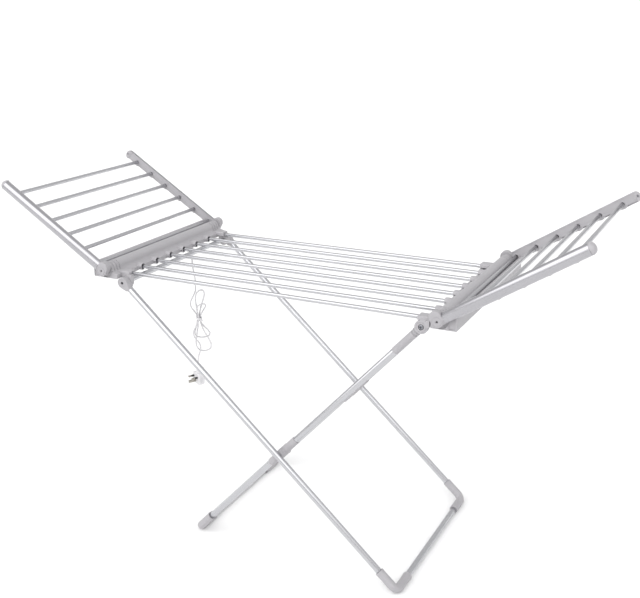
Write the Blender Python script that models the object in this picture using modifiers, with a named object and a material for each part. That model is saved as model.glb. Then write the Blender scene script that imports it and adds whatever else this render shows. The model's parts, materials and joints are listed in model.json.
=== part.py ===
"""Heated clothes airer: a folding X frame that carries a heated centre panel and two wings.

Metres, +Z up. X runs along the bars, Y across them, the origin is under the middle on the floor.
Each wing and each leg frame is modelled flat along its own X axis, from its joint's axis outwards,
and hangs on an empty that lies on that axis and tilts it into place.
"""

import math

import bmesh
import bpy
from mathutils import Matrix, Vector

# Clearances and facets
gap = 0.0003
overrun = 0.004
round_sides = 16
disc_sides = 20
corner_points = 6

# Centre panel
bar_count = 8
bar_radius = 0.005
bar_wall = 0.0008
bar_pitch = 0.062
bar_height = 0.704

# End beam, measured from the wing's hinge axis: out is away from the middle
hinge_reach = 0.4395
hinge_rise = 0.0125
beam_inner = 0.034
beam_outer = 0.038
beam_depth = 0.022
beam_chamfer = 0.002
shelf_drop = 0.005
shelf_inner_drop = 0.010
barrel_radius = 0.017
trunnion_radius = 0.006
trunnion_skin = 0.002
socket_depth = 0.012
socket_lip = 0.0085
socket_radius = 0.0086
socket_tip_radius = 0.0066
socket_tail = 0.018
socket_tail_radius = 0.003
channel_width = 0.013
channel_height = 0.0086

# Leg lugs, moulded on the beams
lug_top = 0.008
lug_low = 0.0031
lug_half_width = 0.009
ear_set = 0.0043
ear_thickness = 0.0124
ear_radius = 0.0155
screw_recess_radius = 0.0042
screw_recess_depth = 0.0025
trunnion_b_radius = 0.005
trunnion_b_length = 0.0155

# Wings
wing_tilt_deg = 32.6
wing_tube_count = 6
wing_tube_first = 0.0255
wing_tube_pitch = 0.058
wing_tube_drop = 0.002
wing_tube_grip = 0.0075
wing_clearance = 0.0015
rail_depth = 0.017
rail_half_height = 0.013
rail_round = 0.006
rail_wall = 0.0015
rail_end = 0.350
cap_length = 0.015
liner_thickness = 0.004
liner_low = 0.010
liner_high = 0.0122
liner_boss_radius = 0.0125
knuckle_foot_radius = 0.0135
knuckle_crown_radius = 0.0140
knuckle_crown_rise = 0.010
knuckle_crown_out = 0.001
tongue_length = 0.022
tongue_slack = 0.0006
cap_overhang = 0.0006

# Leg frames
leg_radius = 0.008
leg_wall = 0.001
pivot_inset = 0.0135
pivot_drop = 0.018
foot_height = 0.011
foot_a_reach = 0.356
foot_b_reach = 0.227
top_tube_radius = 0.0065
top_tube_wall = 0.001
leg_a_start = 0.032
leg_b_start = 0.100
spigot_length = 0.025
knuckle_a_radius = 0.015
knuckle_b_radius = 0.0122
knuckle_half_width = 0.0085
knuckle_a_taper = 0.028
knuckle_a_shoulder_deg = 35
neck_radius = 0.0087
neck_end_radius = 0.0084
neck_start = 0.022
ring_at = 0.0245
ring_width = 0.004
ring_radius = 0.0099
knuckle_b_half_width = 0.00835
elbow_radius = 0.0115
elbow_bend = 0.024
elbow_leg_sleeve = 0.062
elbow_foot_sleeve = 0.070
elbow_stop = 0.030

# Sliding pivot sleeves
sleeve_length = 0.106
sleeve_radius = 0.0105
boss_radius = 0.008

# Mains lead
cord_radius = 0.0021
gland_inset = 0.015
gland_y = 0.100
gland_collar_radius = 0.0065
gland_collar_height = 0.004
gland_length = 0.030
gland_top_radius = 0.005
gland_tip_radius = 0.0031
lead_bow = 0.002
lead_near_share = 0.33
lead_far_share = 0.7
tail_bow = 0.003
tail_middle_share = 0.45
hank_inset = -0.0025
hank_y = 0.090
hank_height = 0.487
hank_turn_deg = 53
hank_half_gap = 0.0028
hank_pitch = 0.0062
hank_lobes = 4
hank_up_height = 0.082
hank_down_height = 0.062
hank_growth = 0.040
hank_up_bulge = 0.030
hank_down_bulge = 0.052
hank_up_lean = 0.010
hank_down_lean = 0.015
hank_entry_length = 0.086
hank_entry_bow = 0.018
hank_exit_length = 0.084
hank_exit_bow = 0.019
loop_points = 24
cord_step_share = 2.5
tie_height = 0.006
tie_wall = 0.002
tie_slack = 0.0012
plug_inset = -0.0065
plug_y = 0.070
plug_height = 0.308
plug_turn_deg = 30
plug_width = 0.042
plug_body_height = 0.034
plug_thickness = 0.019
plug_corner = 0.008
plug_boot_length = 0.016
plug_boot_radius = 0.0042
plug_boot_root_radius = 0.0056
pin_length = 0.0177
pin_width = 0.0063
pin_thickness = 0.004
earth_pin_length = 0.0227
earth_pin_width = 0.008
pin_spread = 0.011
pin_rise = 0.011

# Heating cables
cable_radius = 0.002
cable_bend = 0.0055
wing_cable_bend = 0.004
bend_points = 4

# Places worked out from the sizes above
hinge_height = bar_height + hinge_rise
pivot_height = bar_height - pivot_drop
beam_face = hinge_reach - beam_inner
beam_bottom = hinge_height - beam_depth
pivot_reach = beam_face - pivot_inset
lug_reach = pivot_reach - ear_radius
lug_bar_end = pivot_reach
lug_end = hinge_reach - barrel_radius
wing_tilt = math.radians(wing_tilt_deg)
socket_end = beam_face + socket_depth
bar_edge = (bar_count - 1) * bar_pitch / 2
ear_inner = bar_edge + ear_set
ear_outer = ear_inner + ear_thickness
leg_a_offset = ear_outer + 2 * gap + neck_radius
leg_b_offset = ear_inner - 2 * gap - neck_radius
beam_half_width = leg_a_offset + knuckle_half_width
rail_inner = beam_half_width + wing_clearance
rail_outer = rail_inner + rail_depth
rail_start = knuckle_crown_out + knuckle_crown_radius + 2 * gap
wing_reach = rail_end + cap_length
wing_tube_end = rail_inner + wing_tube_grip
trunnion_end = rail_outer - trunnion_skin
leg_drop = pivot_height - foot_height
leg_a_run = pivot_reach + foot_a_reach
leg_b_run = pivot_reach + foot_b_reach
leg_a_length = math.hypot(leg_a_run, leg_drop)
leg_b_length = math.hypot(leg_b_run, leg_drop)
leg_a_angle = math.atan2(leg_drop, leg_a_run)
leg_b_angle = math.atan2(leg_drop, leg_b_run)
crossing_share = 2 * pivot_reach / (leg_a_run + leg_b_run)
crossing_on_b = crossing_share * leg_b_length
gland_reach = beam_face + gland_inset
hank_reach = beam_face + hank_inset
plug_reach = beam_face + plug_inset
bar_places = [index * bar_pitch - bar_edge for index in range(bar_count)]
wing_places = [wing_tube_first + index * wing_tube_pitch for index in range(wing_tube_count)]

for old in list(bpy.data.objects):
    bpy.data.objects.remove(old, do_unlink=True)

airer = bpy.data.collections.new("heated_clothes_airer")
bpy.context.scene.collection.children.link(airer)


def surface(name, colour, roughness, metallic):
    """A plain material with the piece's own colour."""
    material = bpy.data.materials.new(name)
    material.use_nodes = True
    shader = material.node_tree.nodes["Principled BSDF"]
    shader.inputs["Base Color"].default_value = (*colour, 1)
    shader.inputs["Roughness"].default_value = roughness
    shader.inputs["Metallic"].default_value = metallic
    return material


finishes = {
    "aluminium": ((0.82, 0.82, 0.84), 0.34, 1.0),
    "grey_plastic": ((0.50, 0.51, 0.53), 0.50, 0.0),
    "white_pvc": ((0.86, 0.86, 0.86), 0.45, 0.0),
    "silicone": ((0.70, 0.22, 0.14), 0.60, 0.0),
}


# Building blocks

def from_bmesh(name, shape):
    bmesh.ops.recalc_face_normals(shape, faces=shape.faces)
    mesh = bpy.data.meshes.new(name)
    shape.to_mesh(mesh)
    shape.free()
    piece = bpy.data.objects.new(name, mesh)
    airer.objects.link(piece)
    return piece


def place(centre, axis):
    """A matrix that puts the local Z axis along the named axis, at the centre."""
    turns = {"X": Matrix.Rotation(math.pi / 2, 4, "Y"),
             "Y": Matrix.Rotation(-math.pi / 2, 4, "X"),
             "Z": Matrix.Identity(4)}
    return Matrix.Translation(Vector(centre)) @ turns[axis]


def rod(radius, start, end, axis, sides=round_sides, end_radius=None):
    """A round bar or cone between two points that lie along one axis."""
    start, end = Vector(start), Vector(end)
    if "XYZ".index(axis) != max(range(3), key=lambda index: abs(end[index] - start[index])):
        raise ValueError("the ends do not lie along the axis")
    index = "XYZ".index(axis)
    if end[index] < start[index]:
        start, end = end, start
        if end_radius is not None:
            radius, end_radius = end_radius, radius
    shape = bmesh.new()
    bmesh.ops.create_cone(shape, cap_ends=True, segments=sides, radius1=radius,
                          radius2=radius if end_radius is None else end_radius,
                          depth=(end - start).length, matrix=place((start + end) / 2, axis))
    return from_bmesh("rod", shape)


def pipe(radius, wall, start, end, axis, sides=round_sides):
    """An open-ended hollow tube."""
    start, end = Vector(start), Vector(end)
    shape = bmesh.new()
    bmesh.ops.create_cone(shape, cap_ends=False, segments=sides, radius1=radius, radius2=radius,
                          depth=(end - start).length, matrix=place((start + end) / 2, axis))
    piece = from_bmesh("pipe", shape)
    shell = piece.modifiers.new("wall", "SOLIDIFY")
    shell.thickness = wall
    shell.offset = -1
    return baked(piece)


def block(low, high):
    """A box between two corners."""
    low, high = Vector(low), Vector(high)
    shape = bmesh.new()
    size = high - low
    bmesh.ops.create_cube(shape, size=1, matrix=Matrix.Translation((low + high) / 2)
                          @ Matrix.Diagonal((*size, 1)))
    return from_bmesh("block", shape)


def baked(piece):
    """The piece with its modifiers worked into its mesh."""
    bpy.context.view_layer.update()
    evaluated = piece.evaluated_get(bpy.context.evaluated_depsgraph_get())
    mesh = bpy.data.meshes.new_from_object(evaluated)
    mesh.transform(piece.matrix_world)
    weld = bmesh.new()
    weld.from_mesh(mesh)
    bmesh.ops.remove_doubles(weld, verts=weld.verts, dist=gap / 100)
    weld.to_mesh(mesh)
    weld.free()
    result = bpy.data.objects.new(piece.name, mesh)
    airer.objects.link(result)
    bpy.data.objects.remove(piece, do_unlink=True)
    return result


def plate(outlines, low, high, axis="Y"):
    """A flat outline in the XZ plane drawn out along Y, or one in the XY plane along Z."""
    curve = bpy.data.curves.new("outline", "CURVE")
    curve.dimensions = "2D"
    curve.fill_mode = "BOTH"
    curve.extrude = (high - low) / 2
    for outline in outlines:
        spline = curve.splines.new("POLY")
        spline.points.add(len(outline) - 1)
        spline.use_cyclic_u = True
        for point, (along, up) in zip(spline.points, outline):
            point.co = (along, up, 0, 1)
    piece = bpy.data.objects.new("plate", curve)
    airer.objects.link(piece)
    middle = (low + high) / 2
    if axis == "Y":
        piece.matrix_world = Matrix.Translation((0, middle, 0)) @ Matrix.Rotation(math.pi / 2, 4, "X")
    else:
        piece.matrix_world = Matrix.Translation((0, 0, middle))
    return baked(piece)


def joined(operation, piece, tools):
    """Unite a piece with its tools or cut it by them, and remove the tools."""
    for tool in tools:
        step = piece.modifiers.new(operation.lower(), "BOOLEAN")
        step.operation = operation
        step.solver = "EXACT"
        step.object = tool
    result = baked(piece)
    for tool in tools:
        bpy.data.objects.remove(tool, do_unlink=True)
    return result


def united(piece, *tools):
    return joined("UNION", piece, tools)


def cut(piece, *tools):
    return joined("DIFFERENCE", piece, tools)


def cord_tube(points, radius, resolution=2):
    """A tube of one thickness along a smooth run of points."""
    curve = bpy.data.curves.new("run", "CURVE")
    curve.dimensions = "3D"
    curve.bevel_depth = radius
    curve.bevel_resolution = resolution
    curve.use_fill_caps = True
    spline = curve.splines.new("POLY")
    spline.points.add(len(points) - 1)
    for point, co in zip(spline.points, points):
        point.co = (*co, 1)
    piece = bpy.data.objects.new("run", curve)
    airer.objects.link(piece)
    return baked(piece)


def finish(piece, name, finish_name, parent=None, smooth_deg=40):
    """Name the piece, give it its own material and hang it on its joint."""
    piece.name = name
    piece.data.name = name
    piece.data.materials.clear()
    piece.data.materials.append(surface(name, *finishes[finish_name]))
    piece.data.shade_smooth()
    piece.data.set_sharp_from_angle(angle=math.radians(smooth_deg))
    if parent is not None:
        piece.parent = parent
    return piece


def joint(name, location, rotation):
    """An empty on a joint's axis, which carries what turns there."""
    empty = bpy.data.objects.new(name, None)
    empty.location = location
    empty.rotation_euler = rotation
    airer.objects.link(empty)
    return empty


def arc(centre, radius, start_deg, end_deg, count):
    """Points on an arc, both ends included."""
    points = []
    for index in range(count + 1):
        angle = math.radians(start_deg + (end_deg - start_deg) * index / count)
        points.append((centre[0] + radius * math.cos(angle), centre[1] + radius * math.sin(angle)))
    return points


def rounded(half_width, half_height, corner):
    """A rectangle about zero with round corners."""
    points = []
    for quarter, (across, up) in enumerate(((1, 1), (-1, 1), (-1, -1), (1, -1))):
        centre = (across * (half_width - corner), up * (half_height - corner))
        points += arc(centre, corner, 90 * quarter, 90 * quarter + 90, corner_points)
    return points


# End beams

def beam_outline(side):
    """The beam's section: shelf, hinge barrel and the ramp that the wing's first tube rests on."""
    normal_drop = wing_tube_drop + bar_radius + gap
    along = Vector((math.cos(wing_tilt), math.sin(wing_tilt)))
    normal = Vector((-math.sin(wing_tilt), math.cos(wing_tilt)))
    foot = -normal * normal_drop
    ramp_start = foot + along * math.sqrt(barrel_radius ** 2 - normal_drop ** 2)
    ramp_end = foot + along * ((beam_outer - foot.x) / along.x)
    start_deg = math.degrees(math.atan2(ramp_start.y, ramp_start.x))
    shelf_deg = 180 + math.degrees(math.asin(shelf_drop / barrel_radius))
    points = [(-beam_inner, -shelf_inner_drop), (-beam_inner, beam_chamfer - beam_depth),
              (beam_chamfer - beam_inner, -beam_depth), (beam_outer, -beam_depth), tuple(ramp_end)]
    points += arc((0, 0), barrel_radius, start_deg, shelf_deg, 2 * corner_points)
    return [(side * (hinge_reach + out), hinge_height + up) for out, up in points]


def lug_solids(side, hand):
    """The lug that holds an outer bar's end, and the ear that a leg frame turns in."""
    low_y, high_y = sorted((hand * (bar_edge - lug_half_width), hand * ear_outer))
    left, right = sorted((side * lug_reach, side * lug_end))
    lug = block((left, low_y, bar_height - lug_low), (right, high_y, bar_height + lug_top))
    low_y, high_y = sorted((hand * ear_inner, hand * ear_outer))
    centre = (side * pivot_reach, pivot_height)
    outline = arc(centre, ear_radius, 180, 360, disc_sides // 2)
    outline += [(side * pivot_reach + ear_radius, bar_height), (side * pivot_reach - ear_radius, bar_height)]
    ear = plate([outline], low_y, high_y)
    return [lug, ear]


def lug_cuts(side, hand):
    """The bar's socket, the cable's way on into the beam, and the pivot's bore or screw recess."""
    bar_y = hand * bar_places[-1]
    hole = bar_radius + gap
    cuts = [rod(hole, (side * (lug_reach - overrun), bar_y, bar_height),
                (side * (lug_bar_end + gap), bar_y, bar_height), "X"),
            rod(cable_radius + gap, (side * lug_reach, bar_y, bar_height),
                (side * (socket_end + channel_width / 2), bar_y, bar_height), "X", round_sides // 2)]
    if side < 0:
        cuts.append(rod(top_tube_radius + gap, (side * pivot_reach, hand * (ear_inner - overrun), pivot_height),
                        (side * pivot_reach, hand * (ear_outer + overrun), pivot_height), "Y"))
    else:
        cuts.append(rod(screw_recess_radius,
                        (side * pivot_reach, hand * (ear_outer - screw_recess_depth), pivot_height),
                        (side * pivot_reach, hand * (ear_outer + overrun), pivot_height), "Y"))
    return cuts


def beam(side, name):
    """One end beam with its sockets, hinge trunnions and leg lugs."""
    body = plate([beam_outline(side)], -beam_half_width, beam_half_width)
    additions = []
    cuts = []
    hinge = (side * hinge_reach, hinge_height)
    for hand in (-1, 1):
        additions.append(rod(trunnion_radius, (hinge[0], hand * (beam_half_width - overrun), hinge[1]),
                             (hinge[0], hand * trunnion_end, hinge[1]), "Y"))
        additions += lug_solids(side, hand)
        cuts += lug_cuts(side, hand)
        if side > 0:
            additions.append(rod(trunnion_b_radius, (side * pivot_reach, hand * (ear_inner + overrun), pivot_height),
                                 (side * pivot_reach, hand * (ear_inner - trunnion_b_length), pivot_height), "Y"))
    for bar_y in bar_places[1:-1]:
        additions.append(rod(socket_tip_radius, (side * (beam_face - socket_lip), bar_y, bar_height),
                             (side * beam_face, bar_y, bar_height), "X", end_radius=socket_radius))
        additions.append(rod(socket_radius, (side * beam_face, bar_y, bar_height),
                             (side * (beam_face + socket_tail), bar_y, bar_height), "X",
                             end_radius=socket_tail_radius))
        cuts.append(rod(bar_radius + gap, (side * (beam_face - socket_lip - overrun), bar_y, bar_height),
                        (side * (socket_end + gap), bar_y, bar_height), "X"))
    left, right = sorted((side * socket_end, side * (socket_end + channel_width)))
    channel_end = bar_places[-1] + channel_width / 2
    cuts.append(block((left, -channel_end, bar_height - channel_height / 2),
                      (right, channel_end, bar_height + channel_height / 2)))
    if side < 0:
        cuts.append(rod(cord_radius + gap, (side * gland_reach, gland_y, beam_bottom - overrun),
                        (side * gland_reach, gland_y, bar_height), "Z"))
    return finish(cut(united(body, *additions), *cuts), name, "grey_plastic")


# Centre bars

def centre_bars():
    for index, bar_y in enumerate(bar_places):
        outermost = index in (0, bar_count - 1)
        reach = lug_bar_end if outermost else socket_end
        bar = pipe(bar_radius, bar_wall, (-reach, bar_y, bar_height), (reach, bar_y, bar_height), "X")
        finish(bar, f"centre_bar_{index + 1}", "aluminium")


def bent_across(side, reach, bend, here, there):
    """The two bends that take a cable from one tube to the next."""
    inner = reach - bend
    first = [(inner + bend * math.sin(turn), here + bend * (1 - math.cos(turn)))
             for turn in quarter_turns()]
    second = [(inner + bend * math.cos(turn), there - bend * (1 - math.sin(turn)))
              for turn in quarter_turns()]
    return [(side * along, across) for along, across in first + second]


def quarter_turns():
    return [math.pi / 2 * index / bend_points for index in range(bend_points + 1)]


def to_and_fro(places, reach, bend):
    """A heating cable's route through tubes along the first axis, as pairs of places."""
    route = [(-reach + bend, places[0])]
    side = 1
    for here, there in zip(places, places[1:]):
        route += bent_across(side, reach, bend, here, there)
        side = -side
    route.append((side * (reach - bend), places[-1]))
    return route


def centre_cable():
    route = to_and_fro(bar_places, socket_end + channel_width / 2, cable_bend)
    points = [(along, across, bar_height) for along, across in route]
    finish(cord_tube(points, cable_radius, 1), "heating_cable_centre", "silicone")


# Wings, modelled flat: X away from the hinge, Y across, Z the wing's upper side

def rail_section(grow):
    """The rail's outer outline in Y and Z, open side towards the wing's middle."""
    inner = rail_inner + liner_thickness + gap
    half = rail_half_height - grow
    corner = rail_round - grow
    outer = rail_outer - grow
    points = [(inner if grow == 0 else inner - overrun, -half)]
    points += arc((outer - corner, corner - half), corner, -90, 0, corner_points)
    points += arc((outer - corner, half - corner), corner, 0, 90, corner_points)
    points.append((inner if grow == 0 else inner - overrun, half))
    return points


def along_wing(outline, start, end, hand):
    """A section in Y and Z drawn out along X."""
    shape = bmesh.new()
    corners = [shape.verts.new((start, hand * across, up)) for across, up in outline]
    face = shape.faces.new(corners)
    drawn = bmesh.ops.extrude_face_region(shape, geom=[face])
    moved = [item for item in drawn["geom"] if isinstance(item, bmesh.types.BMVert)]
    bmesh.ops.translate(shape, verts=moved, vec=(end - start, 0, 0))
    return from_bmesh("section", shape)


def rail(hand, name, hinge):
    body = along_wing(rail_section(0), rail_start, rail_end, hand)
    hollow = along_wing(rail_section(rail_wall), rail_start - overrun, rail_end + overrun, hand)
    finish(cut(body, hollow), name, "aluminium", hinge)


def liner(hand, name, hinge):
    """The grey plastic inside of a rail, with the hinge knuckle at its root."""
    face = rail_inner
    back = rail_inner + liner_thickness
    low_y, high_y = sorted((hand * face, hand * back))
    strip = block((0, low_y, -liner_low), (rail_end, high_y, liner_high))
    additions = []
    cuts = []
    for place_x in wing_places:
        additions.append(rod(liner_boss_radius, (place_x, hand * (face + gap), -wing_tube_drop),
                             (place_x, hand * (back - gap), -wing_tube_drop), "Y", disc_sides))
        cuts.append(rod(bar_radius + gap, (place_x, hand * (face - overrun), -wing_tube_drop),
                        (place_x, hand * (back + overrun), -wing_tube_drop), "Y"))
    low_y, high_y = sorted((hand * face, hand * rail_outer))
    additions.append(plate([knuckle_outline()], low_y, high_y))
    additions.append(block((0, low_y, -rail_half_height), (rail_start - gap, high_y, rail_half_height)))
    additions.append(along_wing(rail_section(rail_wall + tongue_slack), rail_start - overrun,
                                tongue_end(), hand))
    cuts.append(rod(trunnion_radius + gap, (0, hand * (face - overrun), 0),
                    (0, hand * (trunnion_end + gap), 0), "Y"))
    cuts.append(rod(screw_recess_radius / 2, (0, hand * (rail_outer - screw_recess_depth / 2), 0),
                    (0, hand * (rail_outer + overrun), 0), "Y"))
    finish(cut(united(strip, *additions), *cuts), name, "grey_plastic", hinge)


def knuckle_outline():
    """Two discs and what lies between: the foot on the hinge's axis and the crown above it."""
    across = math.hypot(knuckle_crown_out, knuckle_crown_rise)
    lean_deg = math.degrees(math.atan2(knuckle_crown_rise, knuckle_crown_out))
    meet_deg = math.degrees(math.acos((knuckle_foot_radius - knuckle_crown_radius) / across))
    crown = arc((knuckle_crown_out, knuckle_crown_rise), knuckle_crown_radius,
                lean_deg - meet_deg, lean_deg + meet_deg, disc_sides // 2)
    foot = arc((0, 0), knuckle_foot_radius, lean_deg + meet_deg, lean_deg + 360 - meet_deg, disc_sides // 2)
    return crown + foot


def tongue_end():
    return wing_tube_first - bar_radius - 2 * cable_radius


def end_cap(hand, name, hinge):
    """The rounded plastic end of a rail, with a tongue that plugs into it."""
    half = rail_half_height + cap_overhang
    start = rail_end + gap
    corner = rail_round
    outline = [(start, -half)]
    outline += arc((wing_reach - corner, corner - half), corner, -90, 0, corner_points)
    outline += arc((wing_reach - corner, half - corner), corner, 0, 90, corner_points)
    outline.append((start, half))
    low_y, high_y = sorted((hand * rail_inner, hand * (rail_outer + cap_overhang)))
    cap = plate([outline], low_y, high_y)
    tongue = along_wing(rail_section(rail_wall + tongue_slack), rail_end - tongue_length, start + overrun, hand)
    hole = rod(screw_recess_radius / 2, ((start + wing_reach) / 2, hand * (rail_inner - overrun), 0),
               ((start + wing_reach) / 2, hand * (rail_inner + screw_recess_depth), 0), "Y")
    low_y, high_y = sorted((hand * (rail_inner - overrun), hand * (rail_inner + liner_thickness + gap)))
    keep_out = block((rail_end - tongue_length - overrun, low_y, -half - overrun),
                     (start, high_y, half + overrun))
    finish(cut(united(cap, tongue), hole, keep_out), name, "grey_plastic", hinge)


def wing(side, name):
    """One wing on its hinge: rails, liners, caps, tubes and heating cable."""
    turn = 0 if side > 0 else math.pi
    hinge = joint(f"{name}_hinge", (side * hinge_reach, 0, hinge_height), (0, -wing_tilt, turn))
    for hand in (-1, 1):
        depth = "near" if hand * side < 0 else "far"
        rail(hand, f"{name}_rail_{depth}", hinge)
        liner(hand, f"{name}_liner_{depth}", hinge)
        end_cap(hand, f"{name}_end_cap_{depth}", hinge)
    for index, place_x in enumerate(wing_places):
        tube = pipe(bar_radius, bar_wall, (place_x, -wing_tube_end, -wing_tube_drop),
                    (place_x, wing_tube_end, -wing_tube_drop), "Y")
        finish(tube, f"{name}_tube_{index + 1}", "aluminium", hinge)
    reach = rail_outer - rail_wall - gap - cable_radius
    route = to_and_fro(wing_places, reach, wing_cable_bend)
    points = [(across, along, -wing_tube_drop) for along, across in route]
    finish(cord_tube(points, cable_radius, 1), f"{name}_heating_cable", "silicone", hinge)


# Leg frames, modelled flat: X from the pivot towards the foot, Y across

def leg_knuckle(hand, offset, leg_start, disc_radius, half_width, ringed, name, pivot):
    """A moulded knuckle: a disc at the pivot and a neck with a spigot that plugs into the leg."""
    y = hand * offset
    low_y, high_y = y - half_width, y + half_width
    bore_radius = (trunnion_b_radius if ringed else top_tube_radius) + gap
    neck_half = neck_radius - 2 * gap
    meet_deg = math.degrees(math.asin(neck_half / disc_radius))
    if ringed:
        head_end = neck_start + overrun
    else:
        head_end = knuckle_a_taper
        meet_deg += knuckle_a_shoulder_deg
    outline = arc((0, 0), disc_radius, meet_deg, 360 - meet_deg, disc_sides)
    outline += [(head_end, -neck_half), (head_end, neck_half)]
    head = plate([outline], low_y, high_y)
    neck = rod(neck_radius, (neck_start, y, 0), (leg_start - gap, y, 0), "X", end_radius=neck_end_radius)
    spigot = rod(leg_radius - leg_wall - gap, (leg_start - overrun, y, 0),
                 (leg_start + spigot_length, y, 0), "X")
    additions = [neck, spigot]
    if ringed:
        additions.append(rod(ring_radius, (ring_at, y, 0), (ring_at + ring_width, y, 0), "X"))
    if ringed:
        bores = [rod(bore_radius, (0, low_y - overrun, 0), (0, high_y + overrun, 0), "Y")]
    else:
        face = hand * (offset + half_width)
        bores = [rod(bore_radius, (0, hand * (offset - half_width - overrun), 0),
                     (0, hand * top_tube_reach(offset, half_width), 0), "Y"),
                 rod(screw_recess_radius, (0, face - hand * screw_recess_depth / 2, 0),
                     (0, face + hand * overrun, 0), "Y")]
    finish(cut(united(head, *additions), *bores), name, "grey_plastic", pivot)


def top_tube_reach(offset, half_width):
    return offset + half_width - screw_recess_depth


def elbow(hand, offset, length, angle, name, pivot):
    """A corner of pipe: from the leg round into the foot tube, with the tubes plugged in."""
    leg_end = length - elbow_bend
    run = [(length - elbow_leg_sleeve, hand * offset, 0)]
    for turn in quarter_turns():
        run.append((leg_end + elbow_bend * math.sin(turn), hand * (offset - elbow_bend * (1 - math.cos(turn))), 0))
    run.append((length, hand * (offset - elbow_foot_sleeve), 0))
    body = cord_tube(run, elbow_radius, 3)
    leg_hole = rod(leg_radius + gap, (length - elbow_leg_sleeve - overrun, hand * offset, 0),
                   (length - elbow_stop, hand * offset, 0), "X")
    foot_hole = rod(leg_radius + gap, (length, hand * (offset - elbow_foot_sleeve - overrun), 0),
                    (length, hand * (offset - elbow_stop), 0), "Y")
    finish(cut(body, leg_hole, foot_hole, floor_block(hand, offset, length, angle)), name,
           "grey_plastic", pivot)


def floor_block(hand, offset, length, angle):
    """What lies under the floor, in the leg's own frame: it cuts the sole of an elbow flat."""
    reach = elbow_bend + elbow_leg_sleeve
    under = block((-reach, -reach, -foot_height - elbow_radius), (reach, reach, -foot_height))
    under.data.transform(Matrix.Translation((length, hand * offset, 0))
                         @ Matrix.Rotation(-angle, 4, "Y"))
    return under


def leg_frame(letter, side, offset, leg_start, length, angle, disc_radius, half_width, ringed):
    """Two legs, their knuckles, the foot tube and its elbows; frame A also has a tube at its pivot."""
    name = f"leg_{letter}"
    turn = 0 if side < 0 else math.pi
    pivot = joint(f"{name}_pivot", (side * pivot_reach, 0, pivot_height), (0, angle, turn))
    for hand in (-1, 1):
        depth = "near" if hand * side > 0 else "far"
        leg = pipe(leg_radius, leg_wall, (leg_start, hand * offset, 0),
                   (length - elbow_stop - gap, hand * offset, 0), "X")
        finish(leg, f"{name}_tube_{depth}", "aluminium", pivot)
        leg_knuckle(hand, offset, leg_start, disc_radius, half_width, ringed, f"{name}_knuckle_{depth}", pivot)
        elbow(hand, offset, length, angle, f"{name}_elbow_{depth}", pivot)
    foot_reach = offset - elbow_stop - gap
    foot = pipe(leg_radius, leg_wall, (length, -foot_reach, 0), (length, foot_reach, 0), "Y")
    finish(foot, f"{name}_foot_tube", "aluminium", pivot)
    if not ringed:
        reach = top_tube_reach(offset, half_width) - gap
        top = pipe(top_tube_radius, top_tube_wall, (0, -reach, 0), (0, reach, 0), "Y")
        finish(top, f"{name}_top_tube", "aluminium", pivot)
    return pivot


def sleeve(hand, pivot):
    """A sleeve that slides on frame B's leg, with a boss that meets frame A's leg."""
    depth = "near" if hand < 0 else "far"
    y = -hand * leg_b_offset
    start = crossing_on_b - sleeve_length / 2
    body = rod(sleeve_radius, (start, y, 0), (start + sleeve_length, y, 0), "X")
    boss_end = leg_a_offset - leg_radius - gap
    boss = rod(boss_radius, (crossing_on_b, -hand * leg_b_offset, 0), (crossing_on_b, -hand * boss_end, 0), "Y")
    bore = rod(leg_radius + gap, (start - overrun, y, 0), (start + sleeve_length + overrun, y, 0), "X")
    finish(cut(united(body, boss), bore), f"pivot_sleeve_{depth}", "grey_plastic", pivot)


# Mains lead

def smooth_run(route, step):
    """Points at a steady step along a smooth curve through the route's own points."""
    points = [Vector(point) for point in route]
    ends = [points[0] * 2 - points[1]] + points + [points[-1] * 2 - points[-2]]
    run = []
    for index in range(1, len(ends) - 2):
        before, here, there, after = ends[index - 1:index + 3]
        count = max(1, round((there - here).length / step))
        for part in range(count):
            share = part / count
            run.append(0.5 * (2 * here + (there - before) * share
                              + (2 * before - 5 * here + 4 * there - after) * share ** 2
                              + (3 * here - before - 3 * there + after) * share ** 3))
    run.append(points[-1])
    return run


def hank_point(across, up, into):
    """A place in the hank, from its waist: across and up in its own plane, into its depth."""
    turn = math.radians(hank_turn_deg)
    return Vector((-hank_reach + across * math.cos(turn) + into * math.sin(turn),
                   hank_y + across * math.sin(turn) - into * math.cos(turn),
                   hank_height + up))


def hank_run():
    """The hank's strand: in at the top left, round four lobes pinched at the waist, out below."""
    run = []
    entry_steps = loop_points // 2
    for index in range(entry_steps):
        share = index / entry_steps
        run.append(hank_point(-hank_half_gap - hank_entry_bow * math.sin(math.pi * share) ** 2,
                              hank_entry_length * (1 - share), hank_pitch * (share - 1) / 2))
    for index in range(hank_lobes * loop_points // 2 + 1):
        angle = math.pi + 2 * math.pi * index / loop_points
        lobe = min(int(2 * index / loop_points), hank_lobes - 1)
        lower = lobe % 2 == 0
        turn_number = lobe // 2
        if lower:
            height = hank_down_height + hank_growth * turn_number
            bulge, lean = hank_down_bulge, hank_down_lean
        else:
            height = hank_up_height - hank_growth * turn_number
            bulge, lean = hank_up_bulge, hank_up_lean
        swell = math.sin(angle) ** 2
        across = math.cos(angle) * (hank_half_gap + bulge * swell) + lean * swell
        run.append(hank_point(across, height * math.sin(angle), hank_pitch * (angle - math.pi) / (2 * math.pi)))
    last_depth = hank_pitch * hank_lobes / 2
    for index in range(1, entry_steps + 1):
        share = index / entry_steps
        run.append(hank_point(-hank_half_gap - hank_exit_bow * math.sin(math.pi * share) ** 2,
                              -hank_exit_length * share, last_depth + hank_pitch * share / 2))
    ending = Vector((0, 0, 2 * cord_radius))
    return [run[0] + ending] + run + [run[-1] - ending]


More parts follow.
